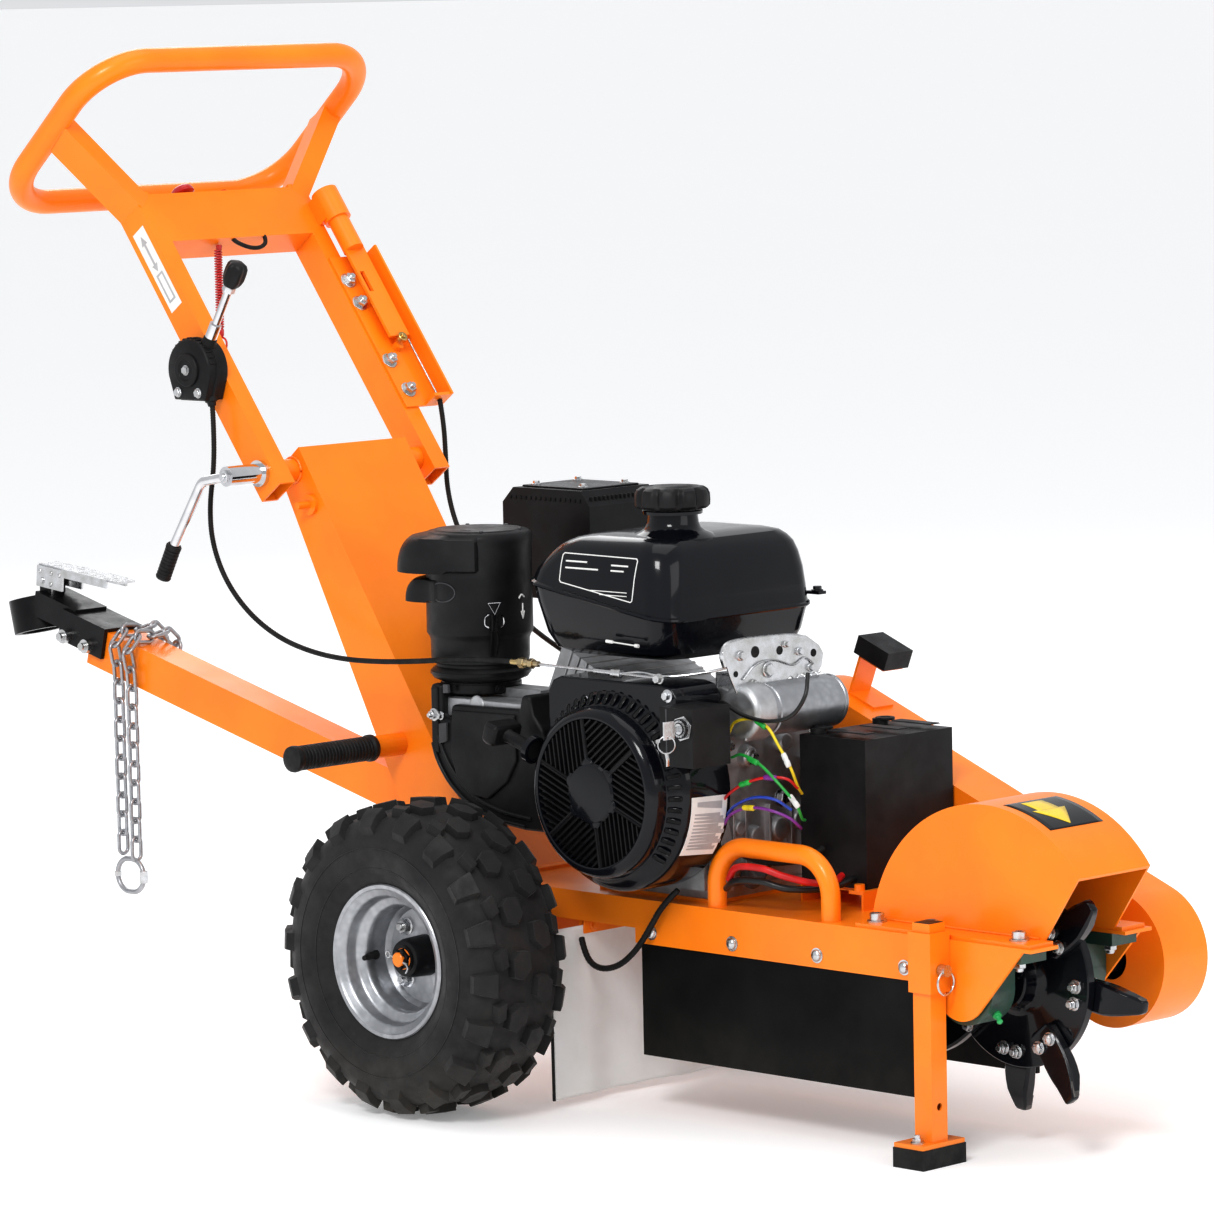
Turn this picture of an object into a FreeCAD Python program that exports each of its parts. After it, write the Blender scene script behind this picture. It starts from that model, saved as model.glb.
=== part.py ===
import FreeCAD, Part
import math
import os

V = FreeCAD.Vector
DOC = FreeCAD.newDocument("stump_grinder")

# ---------------------------------------------------------------- driving dimensions, mm and degrees
DIMS = {
    "axle_x": 87.722,            # wheel axle, forward of the middle of the machine
    "tyre_diameter": 362.0,
    "tyre_width": 145.0,
    "track": 505.0,             # tyre middle to tyre middle
    "rim_bead_radius": 79.5,
    "spindle_radius": 12.7,
    "hub_clearance": 0.05,
    "deck_top": 246.0,
    "deck_half_width": 101.0,
    "deck_sheet": 4.0,
    "cutter_x": 680.0,          # cutter shaft, forward of the axle
    "cutter_z": 194.0,
    "shaft_radius": 17.5,
    "disc_radius": 100.0,
    "disc_sheet": 12.0,
    "tooth_count": 8.0,
    "tooth_reach": 155.0,
    "crank_x": 219.0,           # engine crankshaft, forward of the axle
    "crank_z": 379.0,
    "fan_radius": 116.0,
    "cover_near": 150.0,        # belt guard, inner face to outer face
    "cover_far": 226.0,
    "cover_radius": 78.0,
    "cover_sheet": 3.0,
    "column_half_width": 88.0,
    "column_sheet": 4.0,
    "bar_size": 50.0,           # tow bar, square
    "socket_radius": 25.7,      # coupler socket for a 50.8 ball
    "handle_tube_radius": 15.0,
    "tube_wall": 2.5,
    "loop_half_width": 225.0,
    "loop_depth": 258.0,
    "loop_bend": 75.0,
    "arm_wide": 40.0,
    "arm_thin": 25.0,
    "arm_inner": 115.0,
    "arm_length": 398.0,
    "leg_size": 25.0,
    "sleeve_size": 32.0,
    "leg_x": 650.0,
    "leg_y": -117.3,
    "flap_sheet": 5.0,
    "lift_tube_radius": 11.0,
    "battery_height": 168.0,
    "canister_radius": 62.0,
    "cap_radius": 43.0,
    "grip_radius": 16.0,
}


def write_sheet():
    sheet = DOC.addObject("Spreadsheet::Sheet", "Dims")
    for row, (name, value) in enumerate(DIMS.items(), start=1):
        sheet.set("A%d" % row, name)
        sheet.set("B%d" % row, str(value))
        sheet.setAlias("B%d" % row, name)
    DOC.recompute()


D = DIMS
NODES = []


# ---------------------------------------------------------------- building blocks
def node(obj, label):
    """Name a finished sub-part and set it in the machine's frame, whose origin is under its middle."""
    obj.Label = label
    obj.Placement.Base = obj.Placement.Base + V(D["axle_x"], 0, 0)
    if abs(obj.Placement.Base.x - D["axle_x"]) < 1e-9:
        obj.setExpression("Placement.Base.x", "Dims.axle_x")
    NODES.append(obj)
    return obj


def bind(obj, **expressions):
    for prop, expression in expressions.items():
        obj.setExpression(prop, expression)
    return obj


def block(name, xs, ys, zs, turn=None, pivot=None):
    """A box between two x, two y and two z values, turned about pivot if asked."""
    box = DOC.addObject("Part::Box", name)
    box.Length = xs[1] - xs[0]
    box.Width = ys[1] - ys[0]
    box.Height = zs[1] - zs[0]
    place = FreeCAD.Placement(V(xs[0], ys[0], zs[0]), FreeCAD.Rotation())
    if turn is not None:
        place = FreeCAD.Placement(V(0, 0, 0), turn, pivot).multiply(place)
    box.Placement = place
    return box


def rod(name, start, end, radius, expression=None):
    """A cylinder from one point to another."""
    start, end = V(*start), V(*end)
    bar = DOC.addObject("Part::Cylinder", name)
    bar.Radius = radius
    bar.Height = (end - start).Length
    bar.Placement = FreeCAD.Placement(start, FreeCAD.Rotation(V(0, 0, 1), end - start))
    if expression:
        bar.setExpression("Radius", expression)
    return bar


def plane_of(body, role):
    return [feature for feature in body.Origin.OriginFeatures if feature.Role == role][0]


def draw(sketch, path):
    """Closed outline: each step is a point, or a pair (middle, end) for an arc through the middle."""
    here = path[0]
    for step in path[1:] + [path[0]]:
        if isinstance(step[0], tuple):
            middle, end = step
            arc = Part.Arc(V(here[0], here[1], 0), V(middle[0], middle[1], 0), V(end[0], end[1], 0))
            sketch.addGeometry(arc, False)
            here = end
        elif math.dist(here, step) > 1e-6:
            sketch.addGeometry(Part.LineSegment(V(here[0], here[1], 0), V(step[0], step[1], 0)), False)
            here = step


def sketched_body(name, role, offset, paths):
    body = DOC.addObject("PartDesign::Body", name)
    sketch = body.newObject("Sketcher::SketchObject", name + "_outline")
    sketch.AttachmentSupport = (plane_of(body, role), [""])
    sketch.MapMode = "FlatFace"
    sketch.AttachmentOffset = FreeCAD.Placement(V(0, 0, offset), FreeCAD.Rotation())
    for path in paths:
        draw(sketch, path)
    return body, sketch


def pad(name, role, low, high, *paths, expression=None):
    """Outlines padded between two values of the third axis: XZ between two y, YZ two x, XY two z."""
    offset = -high if role == "XZ_Plane" else low
    body, sketch = sketched_body(name, role, offset, paths)
    feature = body.newObject("PartDesign::Pad", name + "_pad")
    feature.Profile = sketch
    feature.Length = high - low
    if expression:
        feature.setExpression("Length", expression)
    body.Tip = feature
    return body


def turned(name, role, axis, profile, at):
    """A profile turned about the sketch's own H or V axis, then moved to its place."""
    body, sketch = sketched_body(name, role, 0.0, [profile])
    feature = body.newObject("PartDesign::Revolution", name + "_turn")
    feature.Profile = sketch
    feature.ReferenceAxis = (sketch, [axis])
    feature.Angle = 360.0
    body.Tip = feature
    body.Placement.Base = V(*at)
    return body


def fuse(name, *parts):
    result = DOC.addObject("Part::MultiFuse", name)
    result.Shapes = list(parts)
    return result


def cut(name, base, *tools):
    result = DOC.addObject("Part::Cut", name)
    result.Base = base
    result.Tool = tools[0] if len(tools) == 1 else fuse(name + "_tools", *tools)
    return result


def shaped(name, shape):
    feature = DOC.addObject("Part::Feature", name)
    feature.Shape = shape
    return feature


def rounded_route(points, bend=None):
    """Straight runs joined by tangent arcs; returns the wire, its length and its radii."""
    points = [V(*p) for p in points]
    edges, radii = [], []
    here = points[0]
    for before, corner, after in zip(points, points[1:], points[2:]):
        back, ahead = (before - corner), (after - corner)
        turn = math.pi - back.getAngle(ahead)
        if turn < 0.01:
            raise ValueError("three route points in line")
        radius = bend or 0.45 * min(back.Length, ahead.Length) / math.tan(turn / 2)
        reach = radius * math.tan(turn / 2)
        start = corner + V(back).normalize() * reach
        end = corner + V(ahead).normalize() * reach
        inward = (V(back).normalize() + V(ahead).normalize()).normalize()
        centre = corner + inward * (radius / math.cos(turn / 2))
        middle = centre - inward * radius
        edges.append(Part.LineSegment(here, start).toShape())
        edges.append(Part.Arc(start, middle, end).toShape())
        here = end
        radii.append(radius)
    edges.append(Part.LineSegment(here, points[-1]).toShape())
    wire = Part.Wire(edges)
    return wire, wire.Length, radii


def tube_shape(points, radius, bend=None):
    wire, length, radii = rounded_route(points, bend)
    first = wire.OrderedEdges[0]
    start = first.valueAt(first.FirstParameter)
    ring = Part.Wire(Part.Circle(start, first.tangentAt(first.FirstParameter), radius).toShape())
    solid = wire.makePipeShell([ring], True, False)
    expected = math.pi * radius * radius * length
    if abs(solid.Volume - expected) > 0.03 * expected:
        raise ValueError("a tube's volume is not its section times its length")
    return solid, length, radii


def tube(name, points, radius, bend=None):
    return shaped(name, tube_shape(points, radius, bend)[0])


def cable(label, points, radius):
    """A cord's tube; its length and bend radii are printed for the record."""
    solid, length, radii = tube_shape(points, radius)
    print("%s: length %.0f mm, radii %s" % (label, length, " ".join("%.0f" % r for r in radii)))
    return solid


# ---------------------------------------------------------------- outlines shared by several parts
def belt_race(radius, second=None):
    """Outline round the crankshaft and the cutter shaft: two arcs and two tangent runs."""
    one = V(D["crank_x"], D["crank_z"], 0)
    two = V(D["cutter_x"], D["cutter_z"], 0)
    first, second = radius, second or radius
    along = (two - one).normalize()
    lean = math.asin((first - second) / (two - one).Length)
    up = math.pi / 2 - lean
    heading = math.atan2(along.y, along.x)

    def rim(centre, r, angle):
        return (centre.x + r * math.cos(heading + angle), centre.y + r * math.sin(heading + angle))

    return [rim(one, first, up), rim(two, second, up), (rim(two, second, 0.0), rim(two, second, -up)),
            rim(one, first, -up), (rim(one, first, math.pi), rim(one, first, up))]


def ring_path(centre, radius):
    """A full circle as two half arcs."""
    x, z = centre
    return [(x - radius, z), ((x, z + radius), (x + radius, z)), ((x, z - radius), (x - radius, z))]


def column_outline(inset):
    """The column's side view, moved inward by its sheet on the front, back and top."""
    return [(-372 + 0.1 * inset, 736 - 1.3 * inset), (-408 + 1.35 * inset, 706 - 0.1 * inset),
            (-167 + 1.13 * inset, 242), (-48 - 1.2 * inset, 242)]


# ---------------------------------------------------------------- deck and frame
BEARING_BOLTS = [(D["cutter_x"] - 63, 76), (D["cutter_x"] + 63, 76)]
GUARD_BOLTS = [(D["cutter_x"] - 142, 76)] + BEARING_BOLTS
FLANGE_BOLTS = [216.0, 342.0, 471.0, 600.0]


def side_plate(name, side):
    """One deck flange with the round lobe that carries the cutter bearing."""
    low, high = sorted((side * D["deck_half_width"], side * (D["deck_half_width"] - D["deck_sheet"])))
    cx, cz = D["cutter_x"], D["cutter_z"]
    lobe = 35.0
    path = [(-180, 246), (-180, 212), (190, 212), (190, 195), (cx - lobe, 195),
            ((cx - 6, cz - lobe - 0.5), (cx + 26, 170)), (cx + 92, 246)]
    return pad(name, "XZ_Plane", low, high, path)


def deck():
    top = D["deck_top"]
    half = D["deck_half_width"]
    slot_end, front = 520.0, D["cutter_x"] + 101
    outline = [(-180, -half), (front, -half), (front, -56), (slot_end, -56), (slot_end, 56), (front, 56),
               (front, half), (-180, half)]
    plate = pad("deck_plate", "XY_Plane", top - D["deck_sheet"], top, outline, expression="Dims.deck_sheet")
    pieces = [plate, side_plate("deck_side_near", -1), side_plate("deck_side_far", 1)]
    pieces.append(block("deck_cross_rear", (-180, -176), (-97, 97), (212, 242)))
    pieces.append(block("deck_cross_front", (500, 504), (-91, 91), (190, 242)))
    pieces.append(block("curtain_plate", (96, 99), (-97, 97), (196, 242)))
    pieces.append(block("guard_strut_rear", (316, 350), (100, 150), (255, 285)))
    pieces.append(block("guard_strut_foot", (316, 350), (90, 101), (246, 285)))
    pieces.append(block("guard_strut_front", (608, 640), (100.9, 150), (205, 240)))
    pieces.append(block("engine_plate", (110, 292.5), (-76, 76), (246, 250)))
    pieces += [block("tray", (352, 462), (2, 140), (264, 268)),
               block("tray_leg", (352, 355), (2, 96), (242, 266)),
               block("tray_leg", (459, 462), (-14, 96), (242, 266)),
               block("tray_lip", (440, 462), (-14, 4), (264, 268)),
               rod("tray_bolt", (451, -8, 266), (451, -8, 275), 6)]
    size = D["sleeve_size"]
    x, y = D["leg_x"], D["leg_y"]
    sleeve = block("leg_sleeve_tube", (x - size / 2, x + size / 2), (y - size / 2, y + size / 2), (190, 256))
    pieces.append(sleeve)
    whole = fuse("deck_whole", *pieces)
    room = D["leg_size"] / 2 + 0.4
    tools = [block("leg_room", (x - room, x + room), (y - room, y + room), (180, 270)),
             rod("pin_hole", (x + 5, y, 215), (x + 30, y, 215), 4.2)]
    for bolt_x, bolt_y in GUARD_BOLTS:
        for side in (-1, 1):
            tools.append(rod("deck_hole", (bolt_x, side * bolt_y, 230), (bolt_x, side * bolt_y, 256), 5.15))
    for bolt_x in FLANGE_BOLTS:
        tools.append(rod("flange_hole", (bolt_x, -120, 209), (bolt_x, 120, 209), 4.15))
    cx, cz = D["cutter_x"], D["cutter_z"]
    tools.append(rod("shaft_window", (cx, 60, cz), (cx, 120, cz), 24))
    return node(cut("deck", whole, *tools), "deck")


def column():
    half = D["column_half_width"]
    sheet = D["column_sheet"]
    outer = pad("column_skin", "XZ_Plane", -half, half, column_outline(0), expression="2 * Dims.column_half_width")
    inner = pad("column_hollow", "XZ_Plane", -half + sheet, half - sheet, column_outline(sheet))
    shell = cut("column_shell", outer, inner)
    px, pz = PIVOT
    parts = [shell]
    for side in (-1, 1):
        parts.append(rod("pivot_boss", (px, side * (half - 1), pz), (px, side * (D["arm_inner"] - 0.3), pz), 14))
    parts.append(rod("stop_bolt_shank", (-352, -half + 1, 668), (-352, -111, 668), 4.5))
    parts.append(rod("stop_bolt_head", (-352, -half - 5, 668), (-352, -half, 668), 12.5))
    parts.append(rod("grip_stub", (-207, -half + 1, 391), (-207, -258, 391), 12))
    parts.append(rod("grip_collar", (-207, -half + 1, 391), (-207, -132, 391), 13.5))
    parts.append(block("column_foot", (-175, -40), (-half, half), (246, 250)))
    return node(cut("column", fuse("column_whole", *parts), block("below_deck", (-400, 0), (-90, 90), (200, 246))),
                "column")


def axle_beam():
    half = D["track"] / 2
    parts = [block("axle_tube", (-20, 20), (-172, 172), (161, 201))]
    for side in (-1, 1):
        parts.append(rod("spindle", (0, side * 170, 181), (0, side * (half + 40), 181), D["spindle_radius"],
                         "Dims.spindle_radius"))
        parts.append(rod("axle_nut", (0, side * (half + 33), 181), (0, side * (half + 43), 181), 18))
        low, high = sorted((side * 70, side * 96.5))
        parts.append(block("axle_bracket", (-30, 30), (low, high), (195, 241.95)))
    return node(fuse("axle_beam", *parts), "axle_beam")


def wheel(side, name):
    middle = side * D["track"] / 2
    bead, half = D["rim_bead_radius"], 60.0
    shell = [(-half, 86), (-half, 89), (-56.5, 89), (-56.5, bead), (-38, bead), (-30, 64), (30, 64), (38, bead),
             (56.5, bead), (56.5, 89), (half, 89), (half, 86), (59.2, bead - 3), (40, bead - 3), (32, 61),
             (-32, 61), (-40, bead - 3), (-59.2, bead - 3)]
    bore = D["spindle_radius"] + D["hub_clearance"]
    disc = [(-side * -6, 61.5), (-side * -6, bore), (-side * -2, bore), (-side * -2, 61.5)]
    hub = [(-30, bore), (32, bore), (32, 24), (6, 24), (6, 34), (-6, 34), (-6, 26), (-30, 26)]
    hub = [(y * side, r) for y, r in hub]
    at = (0, middle, D["tyre_diameter"] / 2)
    parts = [turned("rim_shell_" + name, "YZ_Plane", "H_Axis", shell, at),
             turned("rim_disc_" + name, "YZ_Plane", "H_Axis", disc, at),
             turned("rim_hub_" + name, "YZ_Plane", "H_Axis", hub, at)]
    for k in range(4):
        angle = math.radians(45 + 90 * k)
        x, z = 43 * math.cos(angle), 181 + 43 * math.sin(angle)
        parts.append(rod("wheel_nut", (x, middle, z), (x, middle + side * 16, z), 8))
    node(fuse("rim_" + name, *parts), "rim_" + name)

    out = D["tyre_diameter"] / 2
    wide = D["tyre_width"] / 2
    outer = [(-56, bead + 0.5), (-56.2, 92), (-wide + 5, 104), (-wide, 128), (-wide + 2, 150), (-wide + 9, 168),
             (-wide + 26, out - 3), (0, out), (wide - 26, out - 3), (wide - 9, 168), (wide - 2, 150), (wide, 128),
             (wide - 5, 104), (56.2, 92), (56, bead + 0.5)]
    inner = [(46, bead + 0.5), (48, 96), (60, 108), (62, 130), (58, 152), (45, 163), (0, 168), (-45, 163),
             (-58, 152), (-62, 130), (-60, 108), (-48, 96), (-46, bead + 0.5)]
    node(turned("tyre_" + name, "YZ_Plane", "H_Axis", outer + inner, at), "tyre_" + name)


# ---------------------------------------------------------------- tow bar, coupler and chain
BAR_SLOPE = -0.2565


def bar_z(x):
    return 437.0 + BAR_SLOPE * (x + 742.0)


def bar_turn():
    return FreeCAD.Rotation(V(0, 1, 0), -math.degrees(math.atan(BAR_SLOPE)))


def tow_bar():
    half = D["bar_size"] / 2
    outer = block("bar_outer", (-846, -100), (-half, half), (437 - half, 437 + half), bar_turn(), V(-742, 0, 437))
    wall = 4.0
    inner = block("bar_inner", (-860, -90), (-half + wall, half - wall), (437 - half + wall, 437 + half - wall),
                  bar_turn(), V(-742, 0, 437))
    skin = pad("bar_trim", "XZ_Plane", -90, 90, column_outline(0))
    bore = rod("bar_bolt_hole", (-838, -40, 461), (-838, 40, 461), 5.2)
    node(cut("tow_bar", outer, inner, skin, bore), "tow_bar")


COUPLER_BOLTS = ((-880, 471), (-838, 461))
LATCH_PIVOT = (-942.0, 537.0)


def tow_coupler():
    turn, pivot = bar_turn(), V(-742, 0, 437)
    base = 437.0
    shank = block("coupler_shank", (-900, -815), (-31, 31), (base - 10, base + 30), turn, pivot)
    under = block("coupler_under", (-846.5, -800), (-25.4, 25.4), (base - 30, base + 25.4), turn, pivot)
    body = block("coupler_body", (-960, -880), (-26, 26), (base + 2, base + 34), turn, pivot)
    ball = rod("coupler_ball", (-966, 0, 470), (-976, 0, 512), 35)
    x, z = LATCH_PIVOT
    lugs = [block("latch_lug", (x - 8, x + 8), (low, low + 5.5), (z - 30, z + 8)) for low in (-14.5, 9)]
    whole = fuse("coupler_whole", shank, body, ball, *lugs)
    cavity = rod("coupler_cup", (-964, 0, 462), (-974, 0, 500), D["socket_radius"])
    bores = [rod("coupler_bolt_hole", (bolt_x, -50, bolt_z), (bolt_x, 50, bolt_z), 5.2)
             for bolt_x, bolt_z in COUPLER_BOLTS]
    bores.append(rod("latch_bore", (x, -30, z), (x, 30, z), 4.05))
    node(cut("tow_coupler", whole, under, cavity, *bores), "tow_coupler")
    bolts = []
    for x, z in COUPLER_BOLTS:
        bolts.append(rod("coupler_bolt", (x, -45, z), (x, 38, z), 5.0))
        bolts.append(rod("coupler_bolt_nut", (x, -39, z), (x, -31.05, z), 9.0))
        bolts.append(rod("coupler_bolt_head", (x, 31.05, z), (x, 38, z), 9.0))
    node(fuse("coupler_bolts", *bolts), "coupler_bolts")


# ---------------------------------------------------------------- handle
PIVOT = (-382.0, 708.0)
LEAN = (-0.595, 0.8037)
FRONT = (0.8037, 0.595)


def on_arm(along, forward=0.0):
    """A point in side view: a distance up the arm from the pivot, and forward of its middle."""
    return (PIVOT[0] + LEAN[0] * along + FRONT[0] * forward, PIVOT[1] + LEAN[1] * along + FRONT[1] * forward)


def leaning_block(name, along, forward, ys):
    """A box that lies along the arm: spans up the arm, forward of its middle, and across."""
    box = DOC.addObject("Part::Box", name)
    box.Length = forward[1] - forward[0]
    box.Width = ys[1] - ys[0]
    box.Height = along[1] - along[0]
    x, z = on_arm(along[0], forward[0])
    turn = FreeCAD.Rotation(V(0, 1, 0), math.degrees(math.atan2(LEAN[0], LEAN[1])))
    box.Placement = FreeCAD.Placement(V(x, ys[0], z), turn)
    return box


LOOP_FRONT = (-556.0, 1199.0)
LOOP_SLOPE = (-0.7463, -0.6656)


def on_loop(depth):
    return (LOOP_FRONT[0] + LOOP_SLOPE[0] * depth, LOOP_FRONT[1] + LOOP_SLOPE[1] * depth)


def loop_solid(radius):
    """The whole handlebar loop as a solid bar: two halves that meet on the machine's mid-plane."""
    half, depth = D["loop_half_width"], D["loop_depth"]
    front, rear = on_loop(0), on_loop(depth)
    halves = []
    for side in (-1, 1):
        corners = [(front[0], 0, front[1]), (front[0], side * half, front[1]), (rear[0], side * half, rear[1]),
                   (rear[0], 0, rear[1])]
        halves.append(tube_shape(corners, radius, D["loop_bend"])[0])
    return halves[0].fuse(halves[1])


def handle_loop():
    outer = shaped("loop_outer", loop_solid(D["handle_tube_radius"]))
    inner = shaped("loop_inner", loop_solid(D["handle_tube_radius"] - D["tube_wall"]))
    node(cut("handle_loop", outer, inner), "handle_loop")


def bar_between(name, start, end, wide, thin):
    """A straight rectangular bar whose wide side stays in the plane of the slope."""
    start, end = V(*start), V(*end)
    along = (end - start).normalize()
    across_bar = V(FRONT[0], 0, FRONT[1])
    across_bar = (across_bar - along * across_bar.dot(along)).normalize()
    side = along.cross(across_bar)
    corners = [start + across_bar * (a * wide / 2) + side * (b * thin / 2)
               for a, b in ((-1, -1), (1, -1), (1, 1), (-1, 1))]
    face = Part.Face(Part.makePolygon(corners + [corners[0]]))
    return shaped(name, face.extrude(end - start))


def handle_arm(side, name):
    inner, thin = D["arm_inner"], D["arm_thin"]
    low, high = sorted((side * inner, side * (inner + thin)))
    wide = D["arm_wide"]
    wall = D["tube_wall"]
    outer = leaning_block("arm_outer", (-28, D["arm_length"]), (-wide / 2, wide / 2), (low, high))
    hollow = leaning_block("arm_inner", (-40, D["arm_length"] - 10), (-wide / 2 + wall, wide / 2 - wall),
                           (low + wall, high - wall))
    middle = side * (inner + thin / 2)
    start = on_arm(D["arm_length"] - 14)
    end = on_loop(120)
    foot = (start[0], middle, start[1])
    top = (end[0], side * (D["loop_half_width"] - 4), end[1])
    upper = cut("arm_upper", bar_between("arm_upper_skin", foot, top, wide, thin),
                bar_between("arm_upper_room", foot, top, wide - 2 * wall, thin - 2 * wall))
    low_end, high_end = on_loop(290), on_loop(-20)
    loop_side = side * D["loop_half_width"]
    loop_room = rod("loop_room", (low_end[0], loop_side, low_end[1]), (high_end[0], loop_side, high_end[1]),
                    D["handle_tube_radius"] + 0.05)
    whole = fuse("arm_whole", cut("arm_skin", outer, hollow), upper)
    tools = [loop_room, rod("pivot_hole", (PIVOT[0], side * 100, PIVOT[1]), (PIVOT[0], side * 150, PIVOT[1]), 6.3)]
    node(cut("handle_arm_" + name, whole, *tools), "handle_arm_" + name)


def cross_plate():
    reach = D["arm_inner"] - 0.05
    front = leaning_block("plate_front", (324, 394), (16, 20), (-reach, reach))
    top = leaning_block("plate_top", (390, 394), (-20, 16), (-reach, reach))
    lower = leaning_block("plate_lower", (324, 328), (-20, 16), (-reach, reach))
    x, z = on_arm(380, -2)
    hole = rod("button_hole", (x, -40, z), (x + LEAN[0] * 30, -40, z + LEAN[1] * 30), 6.05)
    node(cut("cross_plate", fuse("plate_whole", front, top, lower), hole), "cross_plate")


def stop_button():
    x, z = on_arm(376, -2)
    tip = on_arm(411, -2)
    stem = rod("button_stem", (x, -40, z), (tip[0], -40, tip[1]), 6.0)
    low, high = on_arm(403, -2), on_arm(414, -2)
    head = rod("button_head", (low[0], -40, low[1]), (high[0], -40, high[1]), 15.0)
    node(fuse("stop_button", stem, head), "stop_button")


def stop_switch_plug():
    low, high = on_arm(394.05, -2), on_arm(404, -2)
    node(rod("lanyard_switch", (low[0], 22, low[1]), (high[0], 22, high[1]), 9.0), "lanyard_switch")


def throttle():
    housing = leaning_block("throttle_case", (108, 200), (-28, 28), (-172, -140.05))
    barrel = rod("throttle_barrel", (THROTTLE[0], -178, THROTTLE[1]), (THROTTLE[0], -171, THROTTLE[1]), 20)
    slot = rod("lever_room", (THROTTLE[0], -166, THROTTLE[1]), (THROTTLE[0], -146, THROTTLE[1]), 26)
    ways = [leaning_block("lever_way", (160, 205), (-26, 34), (-166, -146)),
            leaning_block("lever_swing_room", (134, 205), (0, 34), (-166, -146))]
    pin = rod("throttle_pin", (THROTTLE[0], -170, THROTTLE[1]), (THROTTLE[0], -142, THROTTLE[1]), 5.0)
    case = fuse("throttle_case_open", cut("throttle_slotted", housing, slot, *ways), barrel, pin)
    node(case, "throttle_housing")
    hub = rod("lever_hub", (THROTTLE[0], -164, THROTTLE[1]), (THROTTLE[0], -148, THROTTLE[1]), 15)
    bore = rod("lever_bore", (THROTTLE[0], -170, THROTTLE[1]), (THROTTLE[0], -140, THROTTLE[1]), 5.05)
    knob_base = (THROTTLE[0] + 0.51 * 128, -156, THROTTLE[1] + 0.86 * 128)
    stem = rod("lever_stem", (THROTTLE[0], -156, THROTTLE[1]), knob_base, 5.0)
    sleeve_end = (THROTTLE[0] + 0.51 * 66, -156, THROTTLE[1] + 0.86 * 66)
    sleeve = rod("lever_sleeve", (THROTTLE[0], -156, THROTTLE[1]), sleeve_end, 7.5)
    node(cut("throttle_lever", fuse("lever_whole", hub, stem, sleeve), bore), "throttle_lever")
    top = (THROTTLE[0] + 0.51 * 152, -156, THROTTLE[1] + 0.86 * 152)
    knob_low = (THROTTLE[0] + 0.51 * 128.1, -156, THROTTLE[1] + 0.86 * 128.1)
    node(rod("throttle_knob", knob_low, top, 14), "throttle_knob")


THROTTLE = on_arm(150, 0)


def clamp_crank():
    x, z = PIVOT
    hub = rod("crank_hub", (x, -196, z), (x, -144.05, z), 12)
    washer = rod("crank_washer", (x, -146, z), (x, -140.05, z), 16)
    screw = rod("crank_screw", (x, -150, z), (x, -116, z), 6.2)
    arm = tube("crank_rod", [(x, -193, z), (x - 46, -193, z - 8), (x - 100, -193, z - 88)], 6.0, 18)
    node(fuse("clamp_crank", hub, washer, screw, arm), "clamp_crank")
    node(rod("crank_grip", (x - 100.8, -193, z - 89.4), (x - 122, -193, z - 128), 9.5), "crank_grip")


def clutch_slider():
    base = leaning_block("slider_base", (60, 284), (20.05, 23), (118, 180))
    rail = leaning_block("slider_rail", (60, 284), (23, 46), (177, 180))
    low, high = on_arm(330, 36), on_arm(372, 36)
    socket = rod("rod_socket", (low[0], 150, low[1]), (high[0], 150, high[1]), 17)
    low, high = on_arm(320, 36), on_arm(380, 36)
    room = rod("socket_room", (low[0], 150, low[1]), (high[0], 150, high[1]), 13.3)
    foot = leaning_block("socket_foot", (334, 368), (20.05, 36), (132, 140.2))
    studs = []
    for along, y in ((248, 128), (214, 128), (146, 150), (128, 128), (84, 134)):
        low, high = on_arm(along, 22), on_arm(along, 31)
        studs.append(rod("slider_stud", (low[0], y, low[1]), (high[0], y, high[1]), 6))
    anchor = leaning_block("cable_anchor", (60, 64), (23, 44), (150, 180))
    low, high = on_arm(50, 34), on_arm(74, 34)
    hole = rod("anchor_hole", (low[0], 165, low[1]), (high[0], 165, high[1]), 3.25)
    node(cut("slider_bracket", fuse("slider_whole", base, rail, cut("socket", fuse("socket_tube", socket, foot),
         room), anchor, *studs), hole), "slider_bracket")
    low, high = on_arm(285, 36), on_arm(362, 36)
    tube_end = rod("slider_tube", (low[0], 150, low[1]), (high[0], 150, high[1]), 13.2)
    flat = leaning_block("slider_flat", (155, 290), (33, 37), (136, 168))
    slot = leaning_block("slider_slot", (222, 252), (20, 50), (140, 147))
    node(cut("clutch_slider", fuse("slider_moving", tube_end, flat), slot), "clutch_slider")


def handle_cables():
    x, z = on_arm(105.4, -4)
    throttle_run = cable("throttle cable, upper run", [(x, -156, z), (x + 4, -158, z - 34), (x + 2, -158, z - 78),
                         (x - 10, -156, z - 124)], 3.2)
    low = on_arm(150, 34)
    high = on_arm(60.5, 34)
    inner_run = rod("clutch_wire", (low[0], 165, low[1]), (high[0], 165, high[1]), 1.4)
    end = on_arm(59.9, 34)
    outer_run = cable("clutch cable, upper run", [(end[0], 165, end[1]), (end[0] + 6, 165, end[1] - 28),
                      (PIVOT[0], 165, PIVOT[1] + 2.8)], 3.2)
    node(fuse("handle_cables", shaped("throttle_upper", throttle_run), inner_run,
              shaped("clutch_upper", outer_run)), "handle_cables")


def stop_lanyard():
    x, z = on_arm(323, 8)
    cord = rod("lanyard_coil", (x, -34, z - 3.6), (x, -34, z - 108), 5.5)
    node(cord, "stop_lanyard")


# ---------------------------------------------------------------- engine
CYLINDER = (-0.906, 0.423)


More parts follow.
